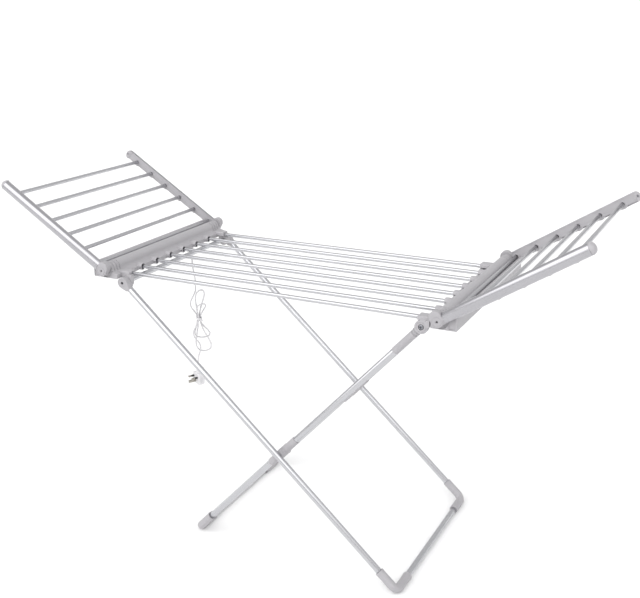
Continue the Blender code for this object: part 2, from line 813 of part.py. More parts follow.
def least_self_gap(run, radius):
    """The least gap between parts of a run that are not neighbours along it."""
    least = math.inf
    fine = []
    for here, there in zip(run, run[1:]):
        for part in range(loop_points // 4):
            fine.append(here.lerp(there, part / (loop_points // 4)))
    lengths = [0]
    for here, there in zip(fine, fine[1:]):
        lengths.append(lengths[-1] + (there - here).length)
    apart = math.pi * radius * 2
    for index, here in enumerate(fine):
        for other in range(index + 1, len(fine)):
            if lengths[other] - lengths[index] > apart:
                least = min(least, (fine[other] - here).length)
    return least - 2 * radius


def mains_lead():
    """Strain relief, lead, hank with its tie, tail and plug."""
    side = -1
    top = beam_bottom - gap
    collar = rod(gland_collar_radius, (side * gland_reach, gland_y, top - gland_collar_height),
                 (side * gland_reach, gland_y, top), "Z")
    tip = top - gland_length
    boot = rod(gland_tip_radius, (side * gland_reach, gland_y, tip),
               (side * gland_reach, gland_y, top - gland_collar_height / 2), "Z", end_radius=gland_top_radius)
    finish(united(collar, boot), "strain_relief", "grey_plastic")

    strand = hank_run()
    step = cord_step_share * 2 * cord_radius
    start = Vector((side * gland_reach, gland_y, tip - gap))
    end = strand[0] + Vector((0, 0, gap))
    down = Vector((0, 0, -2 * cord_radius))
    bow = Vector((lead_bow, 0, 0))
    route = [start, start + down, start.lerp(end, lead_near_share) - bow,
             start.lerp(end, lead_far_share) + bow, end - 2 * down, end - down, end]
    upper = smooth_run(route, step)
    finish(cord_tube(upper, cord_radius), "mains_lead_upper", "white_pvc")
    finish(cord_tube(strand, cord_radius, 1), "mains_lead_hank", "white_pvc")
    print("least gap of the hank to itself (mm):", round(least_self_gap(strand, cord_radius) * 1000, 2))

    wide = hank_half_gap + cord_radius + tie_slack
    deep = hank_pitch * hank_lobes / 4 + cord_radius + tie_slack
    tie = plate([rounded(wide + tie_wall, deep + tie_wall, cord_radius + tie_slack + tie_wall),
                 rounded(wide, deep, cord_radius + tie_slack)], -tie_height / 2, tie_height / 2, "Z")
    middle = hank_point(0, 0, hank_pitch * hank_lobes / 4)
    tie.data.transform(Matrix.Translation(middle) @ Matrix.Rotation(math.radians(hank_turn_deg), 4, "Z"))
    finish(tie, "lead_tie", "white_pvc")

    plug_top = plug_height + plug_body_height / 2 + plug_boot_length
    tail_start = strand[-1] - Vector((0, 0, gap))
    tail_end = Vector((side * plug_reach, plug_y, plug_top + gap))
    tail_route = [tail_start, tail_start + down,
                  tail_start.lerp(tail_end, tail_middle_share) - Vector((tail_bow, 0, 0)),
                  tail_end - 2 * down, tail_end - down, tail_end]
    tail = smooth_run(tail_route, step)
    finish(cord_tube(tail, cord_radius), "mains_lead_tail", "white_pvc")
    total = sum((there - here).length for run in (upper, strand, tail) for here, there in zip(run, run[1:]))
    print("length of the lead (m):", round(total, 3))
    plug(Vector((side * plug_reach, plug_y, plug_height)))


def plug(centre):
    """A three-pin plug that hangs from the lead: the pins leave its face along local -Y."""
    half = plug_thickness / 2
    body = plate([rounded(plug_width / 2, plug_body_height / 2, plug_corner)], -half, half)
    boot = rod(plug_boot_radius, (0, 0, plug_body_height / 2 + plug_boot_length),
               (0, 0, plug_body_height / 2 - overrun), "Z", end_radius=plug_boot_root_radius)
    pins = []
    for across, up, width, thick, length in (
            (-pin_spread, pin_rise / 2, pin_width, pin_thickness, pin_length),
            (pin_spread, pin_rise / 2, pin_width, pin_thickness, pin_length),
            (0, -pin_rise / 2, pin_thickness, earth_pin_width, earth_pin_length)):
        pins.append(block((across - width / 2, -half - length, up - thick / 2),
                          (across + width / 2, -half + overrun, up + thick / 2)))
    piece = united(body, boot, *pins)
    piece.data.transform(Matrix.Translation(centre) @ Matrix.Rotation(math.radians(-plug_turn_deg), 4, "Z"))
    finish(piece, "mains_plug", "white_pvc")


beam(-1, "end_beam_left")
beam(1, "end_beam_right")
centre_bars()
centre_cable()
wing(-1, "wing_left")
wing(1, "wing_right")
frame_a = leg_frame("a", -1, leg_a_offset, leg_a_start, leg_a_length, leg_a_angle,
                    knuckle_a_radius, knuckle_half_width, False)
frame_b = leg_frame("b", 1, leg_b_offset, leg_b_start, leg_b_length, leg_b_angle,
                    knuckle_b_radius, knuckle_b_half_width, True)
for hand in (-1, 1):
    sleeve(hand, frame_b)
mains_lead()
triangles = 0
for piece in airer.objects:
    if piece.type == "MESH":
        piece.data.calc_loop_triangles()
        triangles += len(piece.data.loop_triangles)
print("pieces:", sum(piece.type == "MESH" for piece in airer.objects), "triangles:", triangles)
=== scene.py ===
import json
import math

import bpy
from mathutils import Matrix, Vector


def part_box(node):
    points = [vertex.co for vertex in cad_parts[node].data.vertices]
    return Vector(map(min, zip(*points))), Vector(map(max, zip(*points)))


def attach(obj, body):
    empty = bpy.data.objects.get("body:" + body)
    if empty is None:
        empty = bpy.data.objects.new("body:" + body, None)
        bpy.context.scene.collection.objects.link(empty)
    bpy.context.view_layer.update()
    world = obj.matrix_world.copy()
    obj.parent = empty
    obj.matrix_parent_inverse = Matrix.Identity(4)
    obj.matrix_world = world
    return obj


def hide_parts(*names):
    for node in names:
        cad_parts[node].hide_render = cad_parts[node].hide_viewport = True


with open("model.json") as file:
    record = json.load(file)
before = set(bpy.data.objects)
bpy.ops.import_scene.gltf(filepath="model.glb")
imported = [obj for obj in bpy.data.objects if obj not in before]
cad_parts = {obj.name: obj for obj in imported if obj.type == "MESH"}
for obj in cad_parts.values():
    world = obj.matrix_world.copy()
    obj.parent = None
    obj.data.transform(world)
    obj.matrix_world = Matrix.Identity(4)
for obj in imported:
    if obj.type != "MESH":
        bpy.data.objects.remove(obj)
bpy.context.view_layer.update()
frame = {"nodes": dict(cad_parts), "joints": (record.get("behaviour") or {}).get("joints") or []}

print("frame loaded:", len(frame["nodes"]), "nodes")


# camera, from the photograph's own perspective

cameraView = {
    "place": (1.0469, -2.0219, 1.3714),
    "turnDeg": 27.4,          # to the left of straight ahead
    "downDeg": 19.9,          # below the horizon
    "rollDeg": -0.6,
    "focalPixels": 937.0,
    "imageWide": 640,
    "imageHigh": 598,
    "middleAcross": 308.2,    # where the optical axis meets the picture
    "middleDown": 327.9,
    "sensorMm": 36.0,
}


def setCamera(view):
    bpy.ops.object.camera_add()
    camera = bpy.context.object
    camera.name = "photoCamera"
    turn = Matrix.Rotation(math.radians(view["turnDeg"]), 4, "Z")
    tip = Matrix.Rotation(math.radians(90 - view["downDeg"]), 4, "X")
    roll = Matrix.Rotation(math.radians(view["rollDeg"]), 4, "Z")
    camera.matrix_world = Matrix.Translation(view["place"]) @ turn @ tip @ roll
    camera.data.sensor_width = view["sensorMm"]
    camera.data.lens = view["focalPixels"] / view["imageWide"] * view["sensorMm"]
    camera.data.shift_x = (view["imageWide"] / 2 - view["middleAcross"]) / view["imageWide"]
    camera.data.shift_y = (view["middleDown"] - view["imageHigh"] / 2) / view["imageWide"]
    camera.data.dof.use_dof = False
    bpy.context.scene.camera = camera


setCamera(cameraView)
print("camera set")


plan = {                      # sizes that several pieces share
    "gap": 0.0003,
    "past": 0.004,            # how far a cutting tool runs past what it cuts
    "barCount": 8,
    "barPitch": 0.062,
    "barHeight": 0.704,
    "hingeReach": 0.4395,
    "hingeHeight": 0.7165,
    "pivotReach": 0.392,
    "pivotHeight": 0.686,
    "beamFace": 0.4055,
    "beamHalfWidth": 0.2515,
    "beamBottom": 0.6945,
    "socketEnd": 0.4175,
    "railInner": 0.253,
    "railOuter": 0.270,
    "wingTiltDeg": 32.6,
    "screwRadius": 0.0036,
    "recessRadius": 0.0042,
    "recessDepth": 0.0025,
    "earRecessRadius": 0.0068,
    "earScrewRadius": 0.0060,
}
barPlaces = [(index - (plan["barCount"] - 1) / 2) * plan["barPitch"] for index in range(plan["barCount"])]


# materials

def linearColour(code):       # sRGB hex to the linear values that a shader takes
    channels = [int(code[start:start + 2], 16) / 255 for start in (1, 3, 5)]
    curved = [value / 12.92 if value <= 0.04045 else ((value + 0.055) / 1.055) ** 2.4 for value in channels]
    return (*curved, 1)


def addNode(tree, kind, settings=None, links=None):
    node = tree.nodes.new(kind)
    for name, value in (settings or {}).items():
        if isinstance(name, int) or name in node.inputs:
            node.inputs[name].default_value = value
        else:
            setattr(node, name, value)
    for name, source in (links or {}).items():
        tree.links.new(source, node.inputs[name])
    return node


def startMaterial(name, colour, roughness, metallic=0.0):
    material = bpy.data.materials.new(name)
    material.use_nodes = True
    tree = material.node_tree
    shader = tree.nodes["Principled BSDF"]
    shader.inputs["Base Color"].default_value = linearColour(colour)
    shader.inputs["Roughness"].default_value = roughness
    shader.inputs["Metallic"].default_value = metallic
    return material, tree, shader


def dress(tree, shader, look, tone, sheen, relief=None, spread=(0.3, 0.7)):
    # two close tones, a roughness that swings a little, and a faint relief
    mixed = addNode(tree, "ShaderNodeMix", {
        "data_type": "RGBA", 6: linearColour(look["light"]), 7: linearColour(look["dark"]),
    }, {"Factor": tone})
    tree.links.new(mixed.outputs[2], shader.inputs["Base Color"])
    gloss = addNode(tree, "ShaderNodeMapRange", {
        "From Min": spread[0], "From Max": spread[1], "To Min": look["roughness"] - look["roughnessSwing"],
        "To Max": look["roughness"] + look["roughnessSwing"],
    }, {"Value": sheen})
    tree.links.new(gloss.outputs["Result"], shader.inputs["Roughness"])
    if relief is not None:
        bump = addNode(tree, "ShaderNodeBump", {"Strength": look["bump"], "Distance": look["bumpMm"] / 1000},
                       {"Height": relief})
        tree.links.new(bump.outputs["Normal"], shader.inputs["Normal"])


def drawnAluminium(name, look, turnDeg=0.0, along="X"):
    # drawn tube, satin anodised: soft highlights with faint lines along the draw
    material, tree, shader = startMaterial(name, look["light"], look["roughness"], 1.0)
    fine, long = look["lineMm"] / 1000, look["runMm"] / 1000
    place = addNode(tree, "ShaderNodeTexCoord").outputs["Object"]
    laid = addNode(tree, "ShaderNodeMapping", {
        "vector_type": "TEXTURE", "Rotation": (0, math.radians(turnDeg), 0),
        "Scale": {"X": (long, fine, fine), "Y": (fine, long, fine)}[along],
    }, {"Vector": place})
    lines = addNode(tree, "ShaderNodeTexNoise", {"Scale": 1.0, "Detail": 3.0, "Roughness": 0.6},
                    {"Vector": laid.outputs["Vector"]}).outputs["Fac"]
    clouds = addNode(tree, "ShaderNodeTexNoise", {"Scale": 1000 / look["cloudMm"], "Detail": 2.0},
                     {"Vector": place}).outputs["Fac"]
    dress(tree, shader, look, clouds, lines, lines)
    return material


def mouldedPlastic(name, look):
    # injection moulding from a spark-eroded tool: an even grain, a touch cloudy where it flowed
    material, tree, shader = startMaterial(name, look["light"], look["roughness"])
    shader.inputs["IOR"].default_value = look["ior"]
    place = addNode(tree, "ShaderNodeTexCoord").outputs["Object"]
    grain = addNode(tree, "ShaderNodeTexNoise", {
        "Scale": 1000 / look["grainMm"], "Detail": 2.0, "Roughness": 0.5}, {"Vector": place}).outputs["Fac"]
    flow = addNode(tree, "ShaderNodeTexNoise", {
        "Scale": 1000 / look["flowMm"], "Detail": 3.0, "Roughness": 0.5}, {"Vector": place}).outputs["Fac"]
    dress(tree, shader, look, flow, flow, grain)
    return material


def platedMetal(name, look):
    # turned and plated: bright, with fine rings left by the tool
    material, tree, shader = startMaterial(name, look["light"], look["roughness"], 1.0)
    place = addNode(tree, "ShaderNodeTexCoord").outputs["Object"]
    marks = addNode(tree, "ShaderNodeTexNoise", {"Scale": 1000 / look["grainMm"], "Detail": 3.0},
                    {"Vector": place}).outputs["Fac"]
    dress(tree, shader, look, marks, marks, spread=(0, 1))
    return material


aluminiumLook = {
    "light": "#C7C7CA", "dark": "#C1C1C5", "roughness": 0.24, "roughnessSwing": 0.05,
    "lineMm": 0.8, "runMm": 70.0,       # real draw lines are finer; at 0.8 mm they still show
    "cloudMm": 45.0, "bump": 0.12, "bumpMm": 0.05,
}
railLook = {**aluminiumLook, "light": "#B9B8BC", "dark": "#B2B1B5", "roughness": 0.26}
beamLook = {                            # ABS, light grey
    "light": "#ADABAE", "dark": "#A5A3A7", "roughness": 0.47, "roughnessSwing": 0.05, "ior": 1.53,
    "grainMm": 0.7, "flowMm": 60.0, "bump": 0.22, "bumpMm": 0.06,
}
elbowLook = {**beamLook, "light": "#ABA9AC", "dark": "#A2A0A4", "roughness": 0.50}      # polypropylene
linerLook = {**beamLook, "light": "#AAA8AB", "dark": "#A2A0A4", "roughness": 0.50}
sheathLook = {**beamLook, "light": "#D2D1D3", "dark": "#C8C7CA", "roughness": 0.42, "grainMm": 0.4, "bump": 0.1}
plugLook = {**sheathLook, "light": "#DAD9DB", "dark": "#D2D1D4", "roughness": 0.28, "roughnessSwing": 0.03,
            "grainMm": 0.5, "bump": 0.05}
sleeveLook = {**beamLook, "light": "#1D1D20", "dark": "#141416", "roughness": 0.4, "bump": 0.08}
cableLook = {**beamLook, "light": "#A8402C", "dark": "#9A3826", "roughness": 0.55, "bump": 0.05}
screwLook = {"light": "#9A9BA0", "dark": "#7F8086", "roughness": 0.32, "roughnessSwing": 0.06, "grainMm": 0.6}
holeShadeScrewLook = {**screwLook, "light": "#3B3B3F", "dark": "#2C2C30", "roughness": 0.42}      # near black: painted shade for the deep holes these screws sit in
pinLook = {"light": "#B4B1AA", "dark": "#9B978F", "roughness": 0.26, "roughnessSwing": 0.05, "grainMm": 0.9}

joints = {joint["name"]: joint for joint in frame["joints"]}


def middleOf(node):
    low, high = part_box(node)
    return (Vector(low) + Vector(high)) / 2


def legSlope(letter):
    pivot = Vector(joints[f"leg_{letter}_fold"]["pos_m"])
    foot = middleOf(f"leg_{letter}_foot_tube")
    return math.atan2(pivot.z - foot.z, abs(foot.x - pivot.x))


finishes = {
    "bars": drawnAluminium("satinAnodisedBar", aluminiumLook),
    "wingTubes": drawnAluminium("satinAnodisedWingTube", aluminiumLook, along="Y"),
    "legsA": drawnAluminium("satinAnodisedLegA", aluminiumLook, math.degrees(legSlope("a"))),
    "legsB": drawnAluminium("satinAnodisedLegB", aluminiumLook, -math.degrees(legSlope("b"))),
    "footTubes": drawnAluminium("satinAnodisedFoot", aluminiumLook, along="Y"),
    "railsLeft": drawnAluminium("satinAnodisedRailLeft", railLook, plan["wingTiltDeg"]),
    "railsRight": drawnAluminium("satinAnodisedRailRight", railLook, -plan["wingTiltDeg"]),
    "beams": mouldedPlastic("lightGreyAbs", beamLook),
    "elbows": mouldedPlastic("greyPolypropylene", elbowLook),
    "liners": mouldedPlastic("paleGreyAbs", linerLook),
    "sheath": mouldedPlastic("whitePvcSheath", sheathLook),
    "plug": mouldedPlastic("glossWhitePlug", plugLook),
    "pinSleeves": mouldedPlastic("blackNylonSleeve", sleeveLook),
    "cable": mouldedPlastic("siliconeCable", cableLook),
    "screws": platedMetal("zincPlatedScrew", screwLook),
    "holeShadeScrews": platedMetal("screwPaintedHoleShade", holeShadeScrewLook),
    "pins": platedMetal("nickelledBrassPin", pinLook),
}
print("materials made:", len(finishes))


# modelling helpers

def clearSelection():
    active = bpy.context.view_layer.objects.active
    if active is not None and active.mode != "OBJECT":
        bpy.ops.object.mode_set(mode="OBJECT")
    bpy.ops.object.select_all(action="DESELECT")


def pick(piece):
    clearSelection()
    piece.select_set(True)
    bpy.context.view_layer.objects.active = piece


def settle(piece):            # the place goes into the mesh, the object to the origin
    pick(piece)
    bpy.ops.object.transform_apply(location=True, rotation=True, scale=True)
    return piece


def selectFaces(piece, wanted):
    pick(piece)
    bpy.ops.object.mode_set(mode="EDIT")
    bpy.ops.mesh.select_mode(type="FACE")
    bpy.ops.mesh.select_all(action="DESELECT")
    bpy.ops.object.mode_set(mode="OBJECT")
    for face in piece.data.polygons:
        face.select = wanted(face)
    bpy.ops.object.mode_set(mode="EDIT")


def addRod(radius, start, end):
    start, end = Vector(start), Vector(end)
    run = end - start
    clearSelection()
    bpy.ops.mesh.primitive_cone_add(vertices=tubeParts["sides"], radius1=radius, radius2=radius, depth=run.length,
                                    location=(start + end) / 2, rotation=run.to_track_quat("Z", "Y").to_euler())
    return settle(bpy.context.object)


def addRodX(radius, start, end, y, z=0):
    return addRod(radius, (start, y, z), (end, y, z))


def addRodY(radius, start, end, x=0, z=0):
    return addRod(radius, (x, start, z), (x, end, z))


def addBlock(first, last):    # between two opposite corners
    first, last = Vector(first), Vector(last)
    clearSelection()
    bpy.ops.mesh.primitive_cube_add(size=1, location=(first + last) / 2, scale=[abs(value) for value in last - first])
    return settle(bpy.context.object)


def addPlate(outline, low, high, axis="Y"):
    # a ring of points filled and drawn out along one axis
    clearSelection()
    bpy.ops.mesh.primitive_circle_add(vertices=len(outline), radius=1, fill_type="NGON")
    piece = bpy.context.object
    order = {"X": (2, 0, 1), "Y": (0, 2, 1), "Z": (0, 1, 2)}[axis]
    for vertex, (across, up) in zip(piece.data.vertices, outline):
        values = (across, up, low)
        vertex.co = tuple(values[index] for index in order)
    pick(piece)
    bpy.ops.object.mode_set(mode="EDIT")
    bpy.ops.mesh.select_all(action="SELECT")
    reach = {"X": (high - low, 0, 0), "Y": (0, high - low, 0), "Z": (0, 0, high - low)}[axis]
    bpy.ops.mesh.extrude_region_move(TRANSFORM_OT_translate={"value": reach})
    bpy.ops.mesh.select_all(action="SELECT")
    bpy.ops.mesh.normals_make_consistent(inside=False)
    bpy.ops.object.mode_set(mode="OBJECT")
    return piece


def soften(piece, width, segments=3, angleDeg=38):
    pick(piece)
    bevel = piece.modifiers.new("softEdges", "BEVEL")
    bevel.width = width
    bevel.segments = segments
    bevel.limit_method = "ANGLE"
    bevel.angle_limit = math.radians(angleDeg)
    bpy.ops.object.modifier_apply(modifier=bevel.name)
    return piece


def discard(*pieces):
    for piece in pieces:
        bpy.data.objects.remove(piece, do_unlink=True)


def combine(piece, tools, operation):
    # all the tools in one boolean step, each kept a shape of its own by a collection
    group = bpy.data.collections.new("tools")
    for tool in tools:
        group.objects.link(tool)
    pick(piece)
    step = piece.modifiers.new("shape", "BOOLEAN")
    step.operation = operation
    step.solver = "EXACT"
    step.operand_type = "COLLECTION"
    step.collection = group
    bpy.ops.object.modifier_apply(modifier=step.name)
    discard(*tools)
    bpy.data.collections.remove(group)
    return piece


def arcPoints(centre, radius, startDeg, endDeg, count):
    points = []
    for index in range(count + 1):
        angle = math.radians(startDeg + (endDeg - startDeg) * index / count)
        points.append((centre[0] + radius * math.cos(angle), centre[1] + radius * math.sin(angle)))
    return points


def moveTo(piece, matrix):
    piece.matrix_world = matrix
    return settle(piece)


def addTurned(profile, place, direction, steps=48):
    # a closed ring of points, each a place along the axis and a radius, spun round it
    clearSelection()
    bpy.ops.mesh.primitive_circle_add(vertices=len(profile), radius=1, fill_type="NOTHING")
    piece = bpy.context.object
    for vertex, (along, out) in zip(piece.data.vertices, profile):
        vertex.co = (out, 0, along)
    pick(piece)
    bpy.ops.object.mode_set(mode="EDIT")
    bpy.ops.mesh.select_all(action="SELECT")
    bpy.ops.mesh.spin(steps=steps, angle=2 * math.pi, center=(0, 0, 0), axis=(0, 0, 1))
    bpy.ops.mesh.select_all(action="SELECT")
    bpy.ops.mesh.remove_doubles(threshold=0.000001)
    bpy.ops.mesh.normals_make_consistent(inside=False)
    bpy.ops.object.mode_set(mode="OBJECT")
    return moveTo(piece, Matrix.Translation(place) @ Vector(direction).to_track_quat("Z", "Y").to_matrix().to_4x4())


def roundedOutline(halfWidth, halfHeight, corner, steps):
    points = []
    for quarter, (across, up) in enumerate(((1, 1), (-1, 1), (-1, -1), (1, -1))):
        centre = (across * (halfWidth - corner), up * (halfHeight - corner))
        points += arcPoints(centre, corner, 90 * quarter, 90 * quarter + 90, steps)
    return points


def finishPiece(piece, name, finishName, body, *nodes, smoothDeg=32):
    piece.name = piece.data.name = name
    pick(piece)
    bpy.ops.object.shade_smooth_by_angle(angle=math.radians(smoothDeg))
    piece.data.materials.clear()
    piece.data.materials.append(finishes[finishName])
    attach(piece, body)
    if nodes:
        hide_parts(*nodes)
    return piece


# tubes

tubeParts = {
    "sides": 40,
    "thinInset": 0.00001,     # next to nothing, so the hollow's wall stays straight
    "wingTubes": 6,
    "barRadius": 0.005,
    "barWall": 0.0008,
    "legRadius": 0.008,
    "legWall": 0.001,
    "topRadius": 0.0065,
    "mouthDepth": 0.030,      # how far the open end is hollowed, where nothing shows
    "rim": 0.0002,
    "legStart": {"a": 0.025, "b": 0.100},     # from the pivot
    "elbowStop": 0.0303,      # where it stops, from the foot's axis
}


def makeTube(name, radius, wall, start, end, finishName, body, node):
    piece = addRod(radius, start, end)
    run = (Vector(end) - Vector(start)).normalized()
    selectFaces(piece, lambda face: abs(face.normal.dot(run)) > 0.9)
    bpy.ops.mesh.inset(thickness=wall, depth=0, use_boundary=True)
    bpy.ops.mesh.inset(thickness=tubeParts["thinInset"], depth=-tubeParts["mouthDepth"])
    bpy.ops.object.mode_set(mode="OBJECT")
    soften(piece, tubeParts["rim"], 2)
    return finishPiece(piece, name, finishName, body, node)


def makeCrossTube(name, radius, wall, finishName, body, node):
    (_, lowY, _), (_, highY, _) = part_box(node)
    x, _, z = middleOf(node)
    makeTube(name, radius, wall, (x, lowY, z), (x, highY, z), finishName, body, node)


def makeBars():
    parts = tubeParts
    for index in range(1, plan["barCount"] + 1):
        node = f"centre_bar_{index}"
        (lowX, *_), (highX, *_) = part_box(node)
        _, y, z = middleOf(node)
        makeTube(f"centreBar{index}", parts["barRadius"], parts["barWall"], (lowX, y, z), (highX, y, z),
                 "bars", "top_frame", node)
    for side in ("left", "right"):
        for index in range(1, parts["wingTubes"] + 1):
            makeCrossTube(f"{side}WingTube{index}", parts["barRadius"], parts["barWall"], "wingTubes",
                          f"wing_{side}", f"wing_{side}_tube_{index}")


def makeLegTubes():
    parts = tubeParts
    for letter in ("a", "b"):
        body, label = f"leg_frame_{letter}", f"leg{letter.upper()}"
        pivot = Vector(joints[f"leg_{letter}_fold"]["pos_m"])
        foot = middleOf(f"leg_{letter}_foot_tube")
        run = Vector((foot.x - pivot.x, 0, foot.z - pivot.z))
        length = run.length
        run.normalize()
        for depth in ("near", "far"):
            node = f"leg_{letter}_tube_{depth}"
            root = Vector((pivot.x, middleOf(node).y, pivot.z))
            makeTube(f"{label}Tube{depth.title()}", parts["legRadius"], parts["legWall"],
                     root + run * parts["legStart"][letter], root + run * (length - parts["elbowStop"]),
                     f"legs{letter.upper()}", body, node)
        makeCrossTube(f"{label}FootTube", parts["legRadius"], parts["legWall"], "footTubes", body,
                      f"leg_{letter}_foot_tube")
    makeCrossTube("legATopTube", parts["topRadius"], parts["legWall"], "footTubes", "leg_frame_a", "leg_a_top_tube")


makeBars()
makeLegTubes()
print("tubes made")


# end beams

beamParts = {
    "inner": 0.034,
    "outer": 0.038,
    "depth": 0.022,
    "chamfer": 0.002,
    "shelfDrop": 0.005,
    "shelfInnerDrop": 0.010,
    "barrelRadius": 0.017,
    "barrelSteps": 30,
    "filletDeg": 24,
    "filletShare": 0.55,
    "filletSteps": 7,
    "tubeDrop": 0.0073,       # from the wing's own plane down to the underside of its first tube
    "trunnionRadius": 0.006,
    "trunnionEnd": 0.268,
    "edge": 0.0006,
    # bar sockets: place along the bar from the beam's face, and radius
    "socket": [(-0.0085, 0.0), (-0.0085, 0.0083), (-0.0080, 0.0089), (-0.0055, 0.0094), (-0.0015, 0.0096),
               (0.0030, 0.0095), (0.0065, 0.0091), (0.0095, 0.0083), (0.0125, 0.0069), (0.0155, 0.0050),
               (0.0180, 0.0028), (0.0180, 0.0)],
    "bore": 0.0053,
    "boreFrom": 0.012,        # before the beam's face
    "mouthRadius": 0.0073,    # where the bar goes in the bore is wider
    "mouthDepth": 0.0050,
    "channelWidth": 0.013,
    "channelHeight": 0.0086,
    "grooveAt": [0.0120, 0.0230, 0.0340],     # from each end of the hinge barrel
    "grooveWide": 0.0024,
    "grooveDeep": 0.0016,
    "stepLong": 0.0036,       # the barrel is stepped down next to the wing's knuckle
    "stepDeep": 0.0085,
    "sideHole": 0.0026,       # a small dark hole in the side of each socket, near its mouth
    "sideHoleAt": 0.0050,
    "sideHoleDeg": 15,
    "sideHoleFrom": 0.0035,
    "sideHoleTo": 0.0130,
    # gaps beside the right wing's knuckles, low and high corner
    "clefts": [((0.4112, 0.2250, 0.6960), (0.4138, 0.2380, 0.7160)),
               ((0.4170, 0.2400, 0.6900), (0.4198, 0.2560, 0.7125))],
    "panelInset": 0.0032,     # the triangular sunk panels in the end faces
    "panelDeep": 0.0016,
    "coverInset": 0.006,      # the cover under the beam, with its seam and screws
    "coverSeam": 0.0010,
    "coverSeamDeep": 0.0012,
    "coverScrews": [-0.217, -0.124, -0.031, 0.062, 0.155, 0.217],
    "lugHalf": 0.009,
    "lugTop": 0.008,
    "lugLow": 0.0031,
    "lugReach": 0.3825,
    "lugEnd": 0.4225,
    "lugBarEnd": 0.392,
    "lugEdge": 0.0026,
    "earInner": 0.2213,
    "earOuter": 0.2337,
    "earRadius": 0.0155,
    "earEdge": 0.0009,
    "earCornerDeg": 105,      # where the outline of the right ears starts, which lack a corner
    "ringOut": 0.0116,        # a turned ring round each pivot
    "ringIn": 0.0108,
    "ringDeep": 0.0005,
    "pivotBore": 0.0068,
    "pinRadius": 0.005,
    "pinLength": 0.0155,
    "glandHole": 0.0024,
}


def beamOutline(side):
    parts = beamParts
    tilt = math.radians(plan["wingTiltDeg"])
    along = Vector((math.cos(tilt), math.sin(tilt)))
    foot = Vector((math.sin(tilt), -math.cos(tilt))) * parts["tubeDrop"]
    start = foot + along * math.sqrt(parts["barrelRadius"] ** 2 - parts["tubeDrop"] ** 2)
    end = foot + along * ((parts["outer"] - foot.x) / along.x)
    startDeg = math.degrees(math.atan2(start.y, start.x))
    shelfDeg = 180 + math.degrees(math.asin(parts["shelfDrop"] / parts["barrelRadius"])) - parts["filletDeg"]
    points = [(-parts["inner"], -parts["shelfInnerDrop"]), (-parts["inner"], parts["chamfer"] - parts["depth"]),
              (parts["chamfer"] - parts["inner"], -parts["depth"]), (parts["outer"], -parts["depth"]), tuple(end)]
    points += arcPoints((0, 0), parts["barrelRadius"], startDeg, shelfDeg, parts["barrelSteps"])
    # a fillet runs from the barrel out on to the shelf
    first = Vector(points[-1])
    corner = Vector((-math.sqrt(parts["barrelRadius"] ** 2 - parts["shelfDrop"] ** 2), -parts["shelfDrop"]))
    last = corner.lerp(Vector(points[0]), parts["filletShare"])
    for index in range(1, parts["filletSteps"] + 1):
        share = index / parts["filletSteps"]
        points.append(tuple(first.lerp(corner, share).lerp(corner.lerp(last, share), share)))
    return [(side * (plan["hingeReach"] + out), plan["hingeHeight"] + up) for out, up in points]


def panelOutline(side):       # what lies outboard of the barrel in an end face, drawn in by a rim
    parts = beamParts
    inset = parts["panelInset"]
    tilt = math.radians(plan["wingTiltDeg"])
    rampAt = [(out, (out * math.sin(tilt) - parts["tubeDrop"]) / math.cos(tilt) - inset)
              for out in (parts["barrelRadius"] + inset, parts["outer"] - inset)]
    low = inset - parts["depth"]
    points = [(rampAt[0][0], low), (rampAt[1][0], low), rampAt[1], rampAt[0]]
    return [(side * (plan["hingeReach"] + out), plan["hingeHeight"] + up) for out, up in points]


def ringTool(place, direction, outer, inner, low, high):
    return addTurned([(low, inner), (low, outer), (high, outer), (high, inner)], place, direction)


def lugPieces(side, hand):
    parts = beamParts
    x, z, radius, top = side * plan["pivotReach"], plan["pivotHeight"], parts["earRadius"], plan["barHeight"]
    lug = addBlock((side * parts["lugReach"], hand * (barPlaces[-1] - parts["lugHalf"]), top - parts["lugLow"]),
                   (side * parts["lugEnd"], hand * parts["earOuter"], top + parts["lugTop"]))
    outline = arcPoints((x, z), radius, parts["earCornerDeg"] if side > 0 else 180, 360, 36)
    outline += [(x + radius, top), (x - (0 if side > 0 else radius), top)]
    ear = addPlate(outline, *sorted((hand * parts["earInner"], hand * parts["earOuter"])))
    return [soften(lug, parts["lugEdge"], 5), soften(ear, parts["earEdge"])]


def lugTools(side, hand):
    parts = beamParts
    x, z, face, past = side * plan["pivotReach"], plan["pivotHeight"], hand * parts["earOuter"], plan["past"]
    tools = [addRodX(parts["bore"], side * (parts["lugReach"] - past), side * (parts["lugBarEnd"] + plan["gap"]),
                     hand * barPlaces[-1], plan["barHeight"]),
             ringTool((x, face, z), (0, hand, 0), parts["ringOut"], parts["ringIn"], -parts["ringDeep"], past)]
    if side < 0:
        tools.append(addRodY(parts["pivotBore"], hand * (parts["earInner"] - past), face + hand * past, x, z))
    else:
        tools.append(addRodY(plan["earRecessRadius"], face - hand * plan["recessDepth"], face + hand * past, x, z))
    return tools


def coverTools(side, name):   # for the seam and the screws of the cover underneath
    parts = beamParts
    bottom, past, seam = plan["beamBottom"], plan["past"], parts["coverSeam"]
    lowX, highX = sorted((side * (plan["beamFace"] + parts["coverInset"]),
                          side * (plan["hingeReach"] + parts["outer"] - parts["coverInset"])))
    end = plan["beamHalfWidth"] - parts["coverInset"]
    groove = addBlock((lowX, -end, bottom - past), (highX, end, bottom + parts["coverSeamDeep"]))
    kept = addBlock((lowX + seam, seam - end, bottom - 2 * past), (highX - seam, end - seam, bottom + past))
    tools = [combine(groove, [kept], "DIFFERENCE")]
    for screwY in parts["coverScrews"]:
        seat = ((lowX + highX) / 2, screwY, bottom + plan["recessDepth"])
        tools.append(addRod(plan["recessRadius"], (seat[0], screwY, bottom - past), seat))
        addScrew(f"{name}CoverScrew", seat, (0, 0, -1), "top_frame")
    return tools


